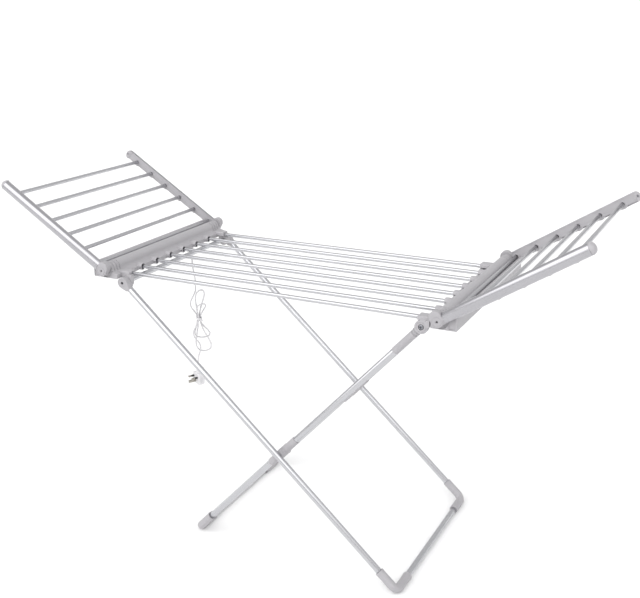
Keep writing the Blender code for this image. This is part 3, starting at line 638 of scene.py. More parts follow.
def makeBeam(side, name, node):
    parts = beamParts
    half, barHeight, past, barrel = plan["beamHalfWidth"], plan["barHeight"], plan["past"], parts["barrelRadius"]
    hinge = Vector((side * plan["hingeReach"], 0, plan["hingeHeight"]))
    body = soften(addPlate(beamOutline(side), -half, half), parts["edge"], 3, 30)
    additions, tools = [], []
    face, mouth = plan["beamFace"], plan["beamFace"] + parts["socket"][0][0]
    leanAngle = math.radians(parts["sideHoleDeg"])
    lean = Vector((0, -math.cos(leanAngle), -math.sin(leanAngle)))
    for barY in barPlaces[1:-1]:
        additions.append(addTurned(parts["socket"], (side * face, barY, barHeight), (side, 0, 0)))
        tools.append(addRodX(parts["bore"], side * (face - parts["boreFrom"]), side * (plan["socketEnd"] + plan["gap"]),
                             barY, barHeight))
        tools.append(addRodX(parts["mouthRadius"], side * (mouth - past), side * (mouth + parts["mouthDepth"]),
                             barY, barHeight))
        hole = Vector((side * (face - parts["sideHoleAt"]), barY, barHeight))
        tools.append(addRod(parts["sideHole"], hole + lean * parts["sideHoleFrom"], hole + lean * parts["sideHoleTo"]))
    # rings cut into the barrel: place along it, depth, low and high end
    rings = [(half - place, parts["grooveDeep"], -parts["grooveWide"] / 2, parts["grooveWide"] / 2)
             for place in parts["grooveAt"]] + [(half, parts["stepDeep"], -parts["stepLong"], past)]
    for hand in (-1, 1):
        out = Vector((0, hand, 0))
        additions.append(addRod(parts["trunnionRadius"], hinge + out * (half - past),
                                hinge + out * parts["trunnionEnd"]))
        additions += lugPieces(side, hand)
        tools += lugTools(side, hand)
        tools += [ringTool(hinge + out * place, out, barrel + past, barrel - deep, low, high)
                  for place, deep, low, high in rings]
        tools.append(addPlate(panelOutline(side), *sorted((hand * (half - parts["panelDeep"]), hand * (half + past)))))
        if side > 0:
            tools += [addBlock((lowX, hand * lowY, lowZ), (highX, hand * highY, highZ))
                      for (lowX, lowY, lowZ), (highX, highY, highZ) in parts["clefts"]]
            additions.append(addRodY(parts["pinRadius"], hand * (parts["earInner"] + past),
                                     hand * (parts["earInner"] - parts["pinLength"]),
                                     plan["pivotReach"], plan["pivotHeight"]))
    channelEnd, channelHalf = barPlaces[-1] + parts["channelWidth"] / 2, parts["channelHeight"] / 2
    tools.append(addBlock((side * plan["socketEnd"], -channelEnd, barHeight - channelHalf),
                          (side * (plan["socketEnd"] + parts["channelWidth"]), channelEnd, barHeight + channelHalf)))
    tools += coverTools(side, name)
    if side < 0:
        glandX, glandY = -leadParts["glandReach"], leadParts["glandY"]
        tools.append(addRod(parts["glandHole"], (glandX, glandY, plan["beamBottom"] - past),
                            (glandX, glandY, barHeight)))
    combine(body, additions, "UNION")
    combine(body, tools, "DIFFERENCE")
    finishPiece(body, name, "beams", "top_frame", node)


# screws: one is modelled, the others are copies with their own mesh

screwParts = {
    # place up from the seat, and radius, for a head of radius 1
    "head": [(-1.2, 0.0), (-1.2, 0.5), (0.0, 0.5), (0.0, 1.0), (0.18, 1.0), (0.34, 0.93), (0.46, 0.78), (0.54, 0.55),
             (0.58, 0.28), (0.59, 0.0)],
    "slotWide": 0.24,
    "slotLong": 1.15,
    "slotDeep": 0.40,
}


def addScrew(name, seat, direction, body, radius=plan["screwRadius"], look="screws"):
    master = bpy.data.objects.get("screwMaster")
    if master is None:
        parts = screwParts
        master = addTurned(parts["head"], (0, 0, 0), (0, 0, 1), 36)
        floor, long, wide = parts["head"][-1][0] - parts["slotDeep"], parts["slotLong"] / 2, parts["slotWide"] / 2
        slots = [addBlock((-x, -y, floor), (x, y, 1)) for x, y in ((long, wide), (wide, long))]
        combine(master, slots, "DIFFERENCE").name = "screwMaster"
    pick(master)
    bpy.ops.object.duplicate(linked=False)
    turn = Vector(direction).to_track_quat("Z", "Y").to_matrix().to_4x4()
    screw = moveTo(bpy.context.object, Matrix.Translation(seat) @ turn @ Matrix.Scale(radius, 4))
    return finishPiece(screw, name, look, body)


# mains lead with its strain relief, hank, tie and plug

leadParts = {
    "radius": 0.0021,
    "glandReach": 0.4205,
    "glandY": 0.100,
    "glandTop": 0.6942,
    "glandLength": 0.030,
    # strain relief: place down from its top, and radius; the grooves let it bend
    "gland": [(0.0, 0.0023), (0.0, 0.0062), (0.0004, 0.0065), (0.0036, 0.0065), (0.0040, 0.0062), (0.0044, 0.0050),
              (0.0072, 0.0048), (0.0076, 0.0041), (0.0090, 0.0041), (0.0094, 0.0046), (0.0118, 0.0044),
              (0.0122, 0.0038), (0.0136, 0.0038), (0.0140, 0.0042), (0.0164, 0.0040), (0.0168, 0.0035),
              (0.0182, 0.0035), (0.0186, 0.0038), (0.0210, 0.0036), (0.0214, 0.0032), (0.0228, 0.0032),
              (0.0232, 0.0034), (0.0296, 0.0031), (0.0300, 0.0029), (0.0300, 0.0023)],
    "startInside": 0.003,     # the cord starts a little way up in the strain relief
    "bow": 0.002,
    "nearShare": 0.33,
    "farShare": 0.7,
    "tailBow": 0.003,
    "tailMiddle": 0.45,
    "stepDiameters": 2.5,
    "along": 5,               # how finely the strand is drawn along and round
    "around": 5,
}
hank = {                      # the same curve as the solid's: four lobes pinched at the waist
    "reach": 0.403,
    "y": 0.090,
    "height": 0.487,
    "turnDeg": 53,
    "halfGap": 0.0028,
    "pitch": 0.0062,
    "lobes": 4,
    "upHeight": 0.082,
    "downHeight": 0.062,
    "growth": 0.040,
    "upBulge": 0.030,
    "downBulge": 0.052,
    "upLean": 0.010,
    "downLean": 0.015,
    "entryLength": 0.086,
    "entryBow": 0.018,
    "exitLength": 0.084,
    "exitBow": 0.019,
    "loopPoints": 24,
}


def hankPoint(across, up, into):
    turn = math.radians(hank["turnDeg"])
    return Vector((-hank["reach"] + across * math.cos(turn) + into * math.sin(turn),
                   hank["y"] + across * math.sin(turn) - into * math.cos(turn),
                   hank["height"] + up))


def hankStrand():
    strand = []
    steps = hank["loopPoints"] // 2
    for index in range(steps):
        share = index / steps
        strand.append(hankPoint(-hank["halfGap"] - hank["entryBow"] * math.sin(math.pi * share) ** 2,
                                hank["entryLength"] * (1 - share), hank["pitch"] * (share - 1) / 2))
    for index in range(hank["lobes"] * steps + 1):
        angle = math.pi * (1 + index / steps)
        lobe = min(index // steps, hank["lobes"] - 1)
        way, sign = ("down", 1) if lobe % 2 == 0 else ("up", -1)
        height = hank[f"{way}Height"] + sign * hank["growth"] * (lobe // 2)
        swell = math.sin(angle) ** 2
        across = math.cos(angle) * (hank["halfGap"] + hank[f"{way}Bulge"] * swell) + hank[f"{way}Lean"] * swell
        strand.append(hankPoint(across, height * math.sin(angle), hank["pitch"] * (angle / math.pi - 1) / 2))
    deep = hank["pitch"] * hank["lobes"] / 2
    for index in range(1, steps + 1):
        share = index / steps
        strand.append(hankPoint(-hank["halfGap"] - hank["exitBow"] * math.sin(math.pi * share) ** 2,
                                -hank["exitLength"] * share, deep + hank["pitch"] * share / 2))
    return strand


def smoothRun(route, step):   # points at a steady step along a smooth curve through the route
    points = [Vector(point) for point in route]
    ends = [points[0] * 2 - points[1]] + points + [points[-1] * 2 - points[-2]]
    run = []
    for index in range(1, len(ends) - 2):
        before, here, there, after = ends[index - 1:index + 3]
        count = max(1, round((there - here).length / step))
        for part in range(count):
            share = part / count
            run.append(0.5 * (2 * here + (there - before) * share
                              + (2 * before - 5 * here + 4 * there - after) * share ** 2
                              + (3 * here - before - 3 * there + after) * share ** 3))
    return run + [points[-1]]


def addStrand(places, radius, along, around):
    # a round strand, drawn smoothly through the places
    clearSelection()
    bpy.ops.curve.primitive_bezier_curve_add()
    strand = bpy.context.object
    spline = strand.data.splines[0]
    spline.bezier_points.add(len(places) - len(spline.bezier_points))
    for point, place in zip(spline.bezier_points, places):
        point.co = place
        point.handle_left_type = point.handle_right_type = "AUTO"
    strand.data.resolution_u = along
    strand.data.bevel_depth = radius
    strand.data.bevel_resolution = around
    strand.data.use_fill_caps = True
    return strand


def makeGland():
    parts = leadParts
    gland = addTurned(parts["gland"], (-parts["glandReach"], parts["glandY"], parts["glandTop"]), (0, 0, -1), 40)
    finishPiece(gland, "strainRelief", "sheath", "top_frame", "strain_relief")


def makeCord(pieces):
    parts, plug = leadParts, plugParts
    down, bow = Vector((0, 0, -2 * parts["radius"])), Vector((parts["bow"], 0, 0))
    step = parts["stepDiameters"] * 2 * parts["radius"]
    strand = hankStrand()
    tip = Vector((-parts["glandReach"], parts["glandY"], parts["glandTop"] - parts["glandLength"]))
    end = strand[0] - down
    upper = smoothRun([tip, tip + down, tip.lerp(end, parts["nearShare"]) - bow,
                       tip.lerp(end, parts["farShare"]) + bow, end - down, end], step)
    start = strand[-1] + down
    bootTop = Vector((-plug["reach"], plug["y"], plug["height"] + plug["bodyHeight"] / 2 + plug["bootLength"]))
    middle = start.lerp(bootTop, parts["tailMiddle"]) - Vector((parts["tailBow"], 0, 0))
    tail = smoothRun([start, start + down, middle, bootTop - 2 * down, bootTop - down, bootTop], step)
    route = [tip + Vector((0, 0, parts["startInside"]))] + upper + strand + tail + [bootTop + down / 2]
    cord = addStrand(route, parts["radius"], parts["along"], parts["around"])
    cord.name = "mainsLead"
    cord.data.materials.append(finishes["sheath"])
    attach(cord, "top_frame")
    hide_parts("mains_lead_upper", "mains_lead_hank", "mains_lead_tail")


tieParts = {
    "height": 0.006,
    "wall": 0.0016,
    "slack": 0.0012,
    "edge": 0.0005,
    "tailLength": 0.016,      # the two ends of the tie, twisted together
    "tailRadius": 0.0011,
    "tailTurns": 2.5,
    "tailSpread": 0.0012,     # they leave the wall close together and spread soon
    "tailRoot": 0.6,
    "tailClose": 0.35,
    "tailWiden": 4,
    "tailPoints": 24,
    "along": 4,
    "around": 3,
}


def makeTie():
    parts = tieParts
    wall, half, corner = parts["wall"], parts["height"] / 2, leadParts["radius"] + parts["slack"]
    into = hank["pitch"] * hank["lobes"] / 4
    wide, deep = hank["halfGap"] + corner, into + corner
    band = addPlate(roundedOutline(wide + wall, deep + wall, corner + wall, 10), -half, half, "Z")
    inside = addPlate(roundedOutline(wide, deep, corner, 10), -half - plan["past"], half + plan["past"], "Z")
    combine(soften(band, parts["edge"]), [inside], "DIFFERENCE")
    matrix = Matrix.Translation(hankPoint(0, 0, into)) @ Matrix.Rotation(math.radians(hank["turnDeg"]), 4, "Z")
    pieces = [finishPiece(moveTo(band, matrix), "leadTie", "plug", "top_frame", "lead_tie")]
    for index in range(2):
        places = []
        for number in range(parts["tailPoints"]):
            share = number / (parts["tailPoints"] - 1)
            angle = 2 * math.pi * parts["tailTurns"] * share + math.pi * index
            spread = parts["tailSpread"] * min(1, parts["tailWiden"] * share + parts["tailClose"])
            places.append((spread * math.cos(angle), -deep - wall * parts["tailRoot"] - parts["tailLength"] * share,
                           spread * math.sin(angle)))
        end = addStrand(places, parts["tailRadius"], parts["along"], parts["around"])
        pick(end)
        bpy.ops.object.convert(target="MESH")
        pieces.append(finishPiece(moveTo(end, matrix), f"leadTieEnd{index + 1}", "plug", "top_frame", smoothDeg=60))
    return pieces


plugParts = {
    "reach": 0.399,
    "y": 0.070,
    "height": 0.308,
    "turnDeg": 30,
    "width": 0.042,
    "bodyHeight": 0.034,
    "thickness": 0.019,
    "corner": 0.008,
    "edge": 0.0028,
    "seam": 0.0005,
    "seamAt": 0.28,           # share of the half thickness; those of the grip are the same
    # boot: place up from the body's middle, and radius
    "boot": [(0.013, 0.0), (0.013, 0.0068), (0.0172, 0.0064), (0.0180, 0.0058), (0.0205, 0.0057), (0.0209, 0.0050),
             (0.0220, 0.0050), (0.0224, 0.0055), (0.0245, 0.0052), (0.0249, 0.0046), (0.0260, 0.0046),
             (0.0264, 0.0050), (0.0285, 0.0047), (0.0289, 0.0042), (0.0300, 0.0042), (0.0304, 0.0045),
             (0.0326, 0.0042), (0.0330, 0.0038), (0.0330, 0.0)],
    "bootLength": 0.016,
    "gripWide": 0.0012,       # ribs at both sides to pull it by
    "gripPitch": 0.0034,
    "gripCount": 5,
    "gripDeep": 0.0007,
    "gripFrom": -0.62,
    "gripTo": 0.16,
    # pins: across, up, wide, thick, long, sleeve
    "pins": [("Line", -0.011, 0.0055, 0.0063, 0.0040, 0.0177, 0.0092),
             ("Neutral", 0.011, 0.0055, 0.0063, 0.0040, 0.0177, 0.0092),
             ("Earth", 0.0, -0.0055, 0.0040, 0.0080, 0.0227, 0.0)],
    "pinEdge": 0.0007,
    "pinRoot": 0.002,         # how far they reach into the body
    "sleeveRoot": 0.001,
    "sleeveSkin": 0.00015,
    "fuseWide": 0.012,
    "fuseHigh": 0.0065,
    "fuseUp": 0.0030,
}


def makePin(name, finishName, middle, size, long, root, matrix):
    (across, up), (wide, thick), half = middle, size, plugParts["thickness"] / 2
    pin = addBlock((across - wide / 2, -half - long, up - thick / 2), (across + wide / 2, root - half, up + thick / 2))
    return finishPiece(moveTo(soften(pin, plugParts["pinEdge"]), matrix), name, finishName, "top_frame")


def makePlug():
    parts = plugParts
    half, wide, high, corner = parts["thickness"] / 2, parts["width"] / 2, parts["bodyHeight"] / 2, parts["corner"]
    seam, seamAt, past = parts["seam"], half * parts["seamAt"], plan["past"]
    matrix = (Matrix.Translation((-parts["reach"], parts["y"], parts["height"]))
              @ Matrix.Rotation(math.radians(-parts["turnDeg"]), 4, "Z"))
    body = soften(addPlate(roundedOutline(wide, high, corner, 12), -half, half), parts["edge"], 6, 50)
    combine(body, [addTurned(parts["boot"], (0, 0, 0), (0, 0, 1), 40)], "UNION")
    around = addPlate(roundedOutline(wide + past, high + past, corner, 8), seamAt, seamAt + seam)
    core = addPlate(roundedOutline(wide - seam, high - seam, corner - seam, 12), -half, half)
    fuseX, low = parts["fuseWide"] / 2, parts["fuseUp"] - parts["fuseHigh"] / 2
    top = low + parts["fuseHigh"]
    fuse = addBlock((-fuseX, -half - past, low), (fuseX, seam - half, top))
    lid = addBlock((seam - fuseX, -half - 2 * past, low + seam), (fuseX - seam, past - half, top - seam))
    tools = [combine(around, [core], "DIFFERENCE"), combine(fuse, [lid], "DIFFERENCE")]
    for hand in (-1, 1):
        for index in range(parts["gripCount"]):
            up = (index - (parts["gripCount"] - 1) / 2) * parts["gripPitch"]
            tools.append(addBlock(
                (hand * (wide - parts["gripDeep"]), half * parts["gripFrom"], up - parts["gripWide"] / 2),
                (hand * (wide + past), half * parts["gripTo"], up + parts["gripWide"] / 2)))
    combine(body, tools, "DIFFERENCE")
    pieces = [finishPiece(moveTo(body, matrix), "mainsPlug", "plug", "top_frame", "mains_plug")]
    skin = 2 * parts["sleeveSkin"]
    for name, across, up, pinWide, thick, long, sleeve in parts["pins"]:
        pieces.append(makePin(f"plugPin{name}", "pins", (across, up), (pinWide, thick), long, parts["pinRoot"], matrix))
        if sleeve:
            pieces.append(makePin(f"plugPinSleeve{name}", "pinSleeves", (across, up), (pinWide + skin, thick + skin),
                                  sleeve, parts["sleeveRoot"], matrix))
    return pieces


makeGland()
makeCord([piece.name for piece in makePlug() + makeTie()])
print("lead made")
makeBeam(-1, "leftEndBeam", "end_beam_left")
makeBeam(1, "rightEndBeam", "end_beam_right")
print("beams made")


# wings: each kind of piece is modelled once, flat, for the hand +1, with X away from the hinge and
# Z its upper side; the four places get copies with their own mesh

wingParts = {
    "tubeCount": 6,
    "tubeFirst": 0.0255,
    "tubePitch": 0.058,
    "tubeDrop": 0.002,
    "railHalf": 0.013,
    "railBulge": 0.0108,      # depth of the oval outer side
    "railPower": 2.0,
    "railWall": 0.0015,
    "railStart": 0.0156,
    "railEnd": 0.350,
    "railRim": 0.0003,
    "arcSteps": 12,
    "reach": 0.361,
    "linerThick": 0.004,
    "linerStart": 0.004,
    "linerEdge": 0.0005,
    "linerLow": 0.010,
    "linerHigh": 0.0122,
    "sunkStart": 0.0205,      # the long sunk panel, and the rib in it from boss to boss
    "sunkEnd": 0.346,
    "sunkRim": 0.0014,
    "sunkDeep": 0.0009,
    "ribClear": 0.010,
    "ribHalf": 0.0009,
    "ribDeep": 0.0020,
    "tubeBore": 0.0053,
    "shoulderInset": 0.0004,
    "shoulderEdge": 0.0007,
    "tongueEnd": 0.0165,
    "tongueSlack": 0.0006,
    "tongueLap": 0.001,
    # boss round each tube: place out from the liner's face, and radius
    "boss": [(0.0040, 0.0), (0.0003, 0.0), (0.0003, 0.0053), (0.0, 0.0056), (0.0, 0.0072), (0.0004, 0.0078),
             (0.0010, 0.0080), (0.0012, 0.0118), (0.0016, 0.0124), (0.0037, 0.0124)],
    # knuckle at the hinge: two discs and what lies between, the foot on the hinge's axis
    "footRadius": 0.0135,
    "crownRadius": 0.0140,
    "crownRise": 0.010,
    "crownOut": 0.001,
    "knuckleEdge": 0.0011,
    "rimOut": 0.0108,
    "rimIn": 0.0100,
    "rimDeep": 0.0006,
    "dishRadius": 0.0040,
    "dishDeep": 0.0007,
    "trunnionBore": 0.0063,
    "trunnionStop": 0.2683,
    "screwHole": 0.0024,
    "screwStop": 0.2687,
    "hingeScrewRadius": 0.0022,
    "hingeScrewIn": 0.0019,
    "capScrewRadius": 0.0019,
    "capScrewIn": 0.0021,
    "capStep": 0.0008,        # then the cap is domed
    "domeStepDeg": 7,
    "capTongue": 0.022,
    "recessRimDeep": 0.0007,
    "recessRimRadius": 0.0037,
    "recessRimWide": 0.0009,
}


def railOutline(grow, inner):
    parts = wingParts
    half, bulge = parts["railHalf"] - grow, parts["railBulge"] - grow
    root, power = plan["railOuter"] - parts["railBulge"], 2 / parts["railPower"]
    oval = [(root + bulge * abs(out) ** power, half * math.copysign(abs(up) ** power, up))
            for out, up in arcPoints((0, 0), 1, -90, 90, 2 * parts["arcSteps"])]
    return [(inner, -half)] + oval + [(inner, half)]


def makeRail():
    parts = wingParts
    inner = plan["railInner"] + parts["linerThick"] + plan["gap"]
    section = railOutline(0, inner) + railOutline(parts["railWall"], inner)[::-1]
    rail = addPlate(section, parts["railStart"], parts["railEnd"], "X")
    return soften(rail, parts["railRim"], 2, 50)


def knuckleOutline():
    parts = wingParts
    crown = (parts["crownOut"], parts["crownRise"])
    leanDeg = math.degrees(math.atan2(crown[1], crown[0]))
    meetDeg = math.degrees(math.acos((parts["footRadius"] - parts["crownRadius"]) / math.hypot(*crown)))
    return (arcPoints(crown, parts["crownRadius"], leanDeg - meetDeg, leanDeg + meetDeg, 26)
            + arcPoints((0, 0), parts["footRadius"], leanDeg + meetDeg, leanDeg + 360 - meetDeg, 26))


def makeLiner():
    parts = wingParts
    face, outer, gap, past = plan["railInner"], plan["railOuter"], plan["gap"], plan["past"]
    back, low, high, drop = face + parts["linerThick"], -parts["linerLow"], parts["linerHigh"], parts["tubeDrop"]
    strip = soften(addBlock((parts["linerStart"], face, low), (parts["railEnd"], back, high)), parts["linerEdge"], 2)
    sunk = addBlock((parts["sunkStart"], face - past, low + parts["sunkRim"]),
                    (parts["sunkEnd"], face + parts["sunkDeep"], high - parts["sunkRim"]))
    combine(strip, [sunk], "DIFFERENCE")
    tubes = [parts["tubeFirst"] + index * parts["tubePitch"] for index in range(parts["tubeCount"])]
    additions = [addTurned(parts["boss"], (place, face, -drop), (0, 1, 0), 40) for place in tubes]
    additions += [addBlock((here + parts["ribClear"], face + gap, -drop - parts["ribHalf"]),
                           (there - parts["ribClear"], face + parts["ribDeep"], parts["ribHalf"] - drop))
                  for here, there in zip(tubes, tubes[1:])]
    additions.append(soften(addPlate(knuckleOutline(), face, outer), parts["knuckleEdge"], 4, 30))
    shoulder = addPlate(railOutline(parts["shoulderInset"], face), 0, parts["railStart"] - gap, "X")
    additions.append(soften(shoulder, parts["shoulderEdge"], 2, 50))
    additions.append(addPlate(railOutline(parts["railWall"] + parts["tongueSlack"], back - parts["tongueLap"]),
                              parts["railStart"] - past, parts["tongueEnd"], "X"))
    tools = [addRodY(parts["tubeBore"], face - past, back + past, place, -drop) for place in tubes]
    tools += [addRodY(parts["trunnionBore"], face - past, parts["trunnionStop"]),
              addRodY(parts["dishRadius"], outer - parts["dishDeep"], outer + past),
              addRodY(parts["screwHole"], parts["screwStop"], outer + past),
              ringTool((0, outer, 0), (0, 1, 0), parts["rimOut"], parts["rimIn"], -parts["rimDeep"], past)]
    combine(strip, additions, "UNION")
    return combine(strip, tools, "DIFFERENCE")


def makeCap():
    parts = wingParts
    inner, past, start = plan["railInner"], plan["past"], parts["railEnd"] + plan["gap"]
    cap = addPlate(railOutline(0, inner), start, start + parts["capStep"], "X")
    selectFaces(cap, lambda face: face.normal.x > 0.9)
    # the end is domed: each step out is lower and shallower than the last
    dome = parts["reach"] - start - parts["capStep"]
    angles = [math.radians(deg) for deg in range(0, 90, parts["domeStepDeg"])]
    for here, there in zip(angles, angles[1:]):
        bpy.ops.mesh.extrude_region_move(
            TRANSFORM_OT_translate={"value": (dome * (math.sin(there) - math.sin(here)), 0, 0)})
        share, nextShare = math.cos(here), math.cos(there)
        bpy.ops.transform.resize(value=(1, (1 + nextShare) / (1 + share), nextShare / share),
                                 center_override=(0, inner, 0))
    bpy.ops.object.mode_set(mode="OBJECT")
    back = inner + parts["linerThick"] + 2 * plan["gap"]
    tongue = addPlate(railOutline(parts["railWall"] + parts["tongueSlack"], back),
                      parts["railEnd"] - parts["capTongue"], start + past, "X")
    combine(cap, [tongue], "UNION")
    middle, rim = (start + parts["reach"]) / 2, parts["recessRimRadius"]
    tools = [addRodY(parts["screwHole"], inner - past, inner + plan["recessDepth"], middle),
             ringTool((middle, inner, 0), (0, 1, 0), rim, rim - parts["recessRimWide"], -past, parts["recessRimDeep"])]
    return combine(cap, tools, "DIFFERENCE")


def wingMatrix(side):
    turn = 0 if side > 0 else math.pi
    return (Matrix.Translation((side * plan["hingeReach"], 0, plan["hingeHeight"]))
            @ Matrix.Rotation(turn, 4, "Z") @ Matrix.Rotation(-math.radians(plan["wingTiltDeg"]), 4, "Y"))


def placeCopy(master, matrix, hand, name, finishName, body, *nodes):
    pick(master)
    bpy.ops.object.duplicate(linked=False)
    piece = bpy.context.object
    moveTo(piece, matrix @ Matrix.Diagonal((1, hand, 1, 1)))
    bpy.ops.object.mode_set(mode="EDIT")
    bpy.ops.mesh.select_all(action="SELECT")
    bpy.ops.mesh.normals_make_consistent(inside=False)
    bpy.ops.object.mode_set(mode="OBJECT")
    return finishPiece(piece, name, finishName, body, *nodes)


def makeWings():
    parts = wingParts
    masters = {"rail": makeRail(), "liner": makeLiner(), "end_cap": makeCap()}
    capMiddle = (parts["railEnd"] + parts["reach"]) / 2
    for side, word in ((-1, "left"), (1, "right")):
        matrix, body = wingMatrix(side), f"wing_{word}"
        looks = {"rail": ("Rail", f"rails{word.title()}"), "liner": ("Liner", "liners"), "end_cap": ("EndCap", "beams")}
        for hand in (-1, 1):
            depth = "near" if hand * side < 0 else "far"
            for kind, master in masters.items():
                label, look = looks[kind]
                placeCopy(master, matrix, hand, f"{word}Wing{label}{depth.title()}", look, body,
                          f"{body}_{kind}_{depth}")
            across = matrix.to_3x3() @ Vector((0, hand, 0))
            seat = matrix @ Vector((capMiddle, hand * (plan["railInner"] + parts["capScrewIn"]), 0))
            addScrew(f"{word}Wing{depth.title()}CapScrew", seat, -across, body, parts["capScrewRadius"])
            # the hinge screws are painted near black, as the shade of the deep holes they sit in
            seat = matrix @ Vector((0, hand * (plan["railOuter"] - parts["hingeScrewIn"]), 0))
            addScrew(f"{word}Wing{depth.title()}HingeScrew", seat, across, "top_frame", parts["hingeScrewRadius"],
                     "holeShadeScrews")
    discard(*masters.values())


# legs: modelled flat from the pivot towards the foot along X

legParts = {
    "offset": {"a": 0.243, "b": 0.212},
    "foot": {"a": (0.356, 0.011), "b": (-0.227, 0.011)},
    "side": {"a": -1, "b": 1},
    "neckRadius": 0.0087,
    "neckEnd": {"a": 0.0084, "b": 0.0090},
    "neckStart": 0.018,
    "notch": [(0.0285, 0.0087), (0.0288, 0.0076), (0.0328, 0.0076), (0.0334, 0.0092)],      # behind the ring
    "neckSlope": 0.0012,
    "neckChamfer": 0.0008,
    "spigotRadius": 0.0067,
    "spigotLength": 0.025,
    # knuckles: radius of the disc, half width, bore
    "disc": {"a": 0.0138, "b": 0.0122},
    "half": {"a": 0.0085, "b": 0.00835},
    "bore": {"a": 0.0068, "b": 0.0053},
    "shoulderDeg": 35,
    "taperEnd": 0.0215,
    "edge": 0.0011,
    "ringAt": 0.0245,
    "ring": [(0.0, 0.0), (0.0, 0.0093), (0.0005, 0.0099), (0.0035, 0.0099), (0.0040, 0.0093), (0.0040, 0.0)],
    "rimRadius": 0.0103,
    "rimDeep": 0.0005,
    "rimWide": 0.0008,
    "screwLift": 0.0002,
}


def legMatrix(letter):        # also the length and the slope of the legs
    side, (footX, footZ) = legParts["side"][letter], legParts["foot"][letter]
    drop, run = plan["pivotHeight"] - footZ, plan["pivotReach"] + abs(footX)
    angle = math.atan2(drop, run)
    matrix = (Matrix.Translation((side * plan["pivotReach"], 0, plan["pivotHeight"]))
              @ Matrix.Rotation(0 if side < 0 else math.pi, 4, "Z") @ Matrix.Rotation(angle, 4, "Y"))
    return matrix, math.hypot(drop, run), angle


def makeKnuckle(letter):      # for the hand +1
    parts, gap, past, recess = legParts, plan["gap"], plan["past"], plan["recessDepth"]
    offset, disc, half, neckEnd = [parts[name][letter] for name in ("offset", "disc", "half", "neckEnd")]
    neckHalf = parts["neckRadius"] - 2 * gap
    meetDeg = math.degrees(math.asin(neckHalf / disc))
    headEnd = parts["neckStart"] + past
    if letter == "a":
        headEnd = parts["taperEnd"]
        meetDeg += parts["shoulderDeg"]
    outline = arcPoints((0, 0), disc, meetDeg, 360 - meetDeg, 40) + [(headEnd, -neckHalf), (headEnd, neckHalf)]
    head = soften(addPlate(outline, offset - half, offset + half), parts["edge"], 4, 30)
    start = tubeParts["legStart"][letter]
    spigotEnd = start + parts["spigotLength"]
    neck = [(parts["neckStart"], 0.0), (parts["neckStart"], parts["neckRadius"])]
    neck += parts["notch"] if letter == "b" else []
    neck += [(start - parts["neckSlope"], neckEnd), (start - gap, neckEnd - parts["neckChamfer"]),
             (start - gap, parts["spigotRadius"]), (spigotEnd, parts["spigotRadius"]), (spigotEnd, 0.0)]
    additions = [addTurned(neck, (0, offset, 0), (1, 0, 0))]
    low, high, rim = offset - half, offset + half, parts["rimRadius"]
    if letter == "a":
        face, hand = high, 1
        tools = [addRodY(parts["bore"]["a"], low - past, high - recess),
                 addRodY(plan["recessRadius"], high - recess / 2, high + past)]
    else:
        face, hand = low, -1
        additions.append(addTurned(parts["ring"], (parts["ringAt"], offset, 0), (1, 0, 0)))
        tools = [addRodY(parts["bore"]["b"], low - past, high + past)]
    tools.append(ringTool((0, face, 0), (0, hand, 0), rim, rim - parts["rimWide"], -parts["rimDeep"], past))
    combine(head, additions, "UNION")
    return combine(head, tools, "DIFFERENCE")


elbowParts = {
    "radius": 0.0108,
    "bend": 0.018,
    "legSleeve": 0.062,
    "footSleeve": 0.070,
    "stop": 0.030,
    "bore": 0.0083,
    "sides": 40,
    "bendSteps": 14,
    # lip round each mouth: place in from the mouth, and radius
    "lip": [(0.0, 0.0), (0.0, 0.0109), (0.0004, 0.0113), (0.0040, 0.0113), (0.0050, 0.0106), (0.0050, 0.0)],
    "soleDeep": 0.02,         # the tool that levels the sole
    "ribCount": 5,            # grip ribs moulded across the sole
    "ribFirst": 0.008,
    "ribLap": 0.001,
    "ribPitch": 0.006,
    "ribWide": 0.0016,
    "ribDeep": 0.0005,
}


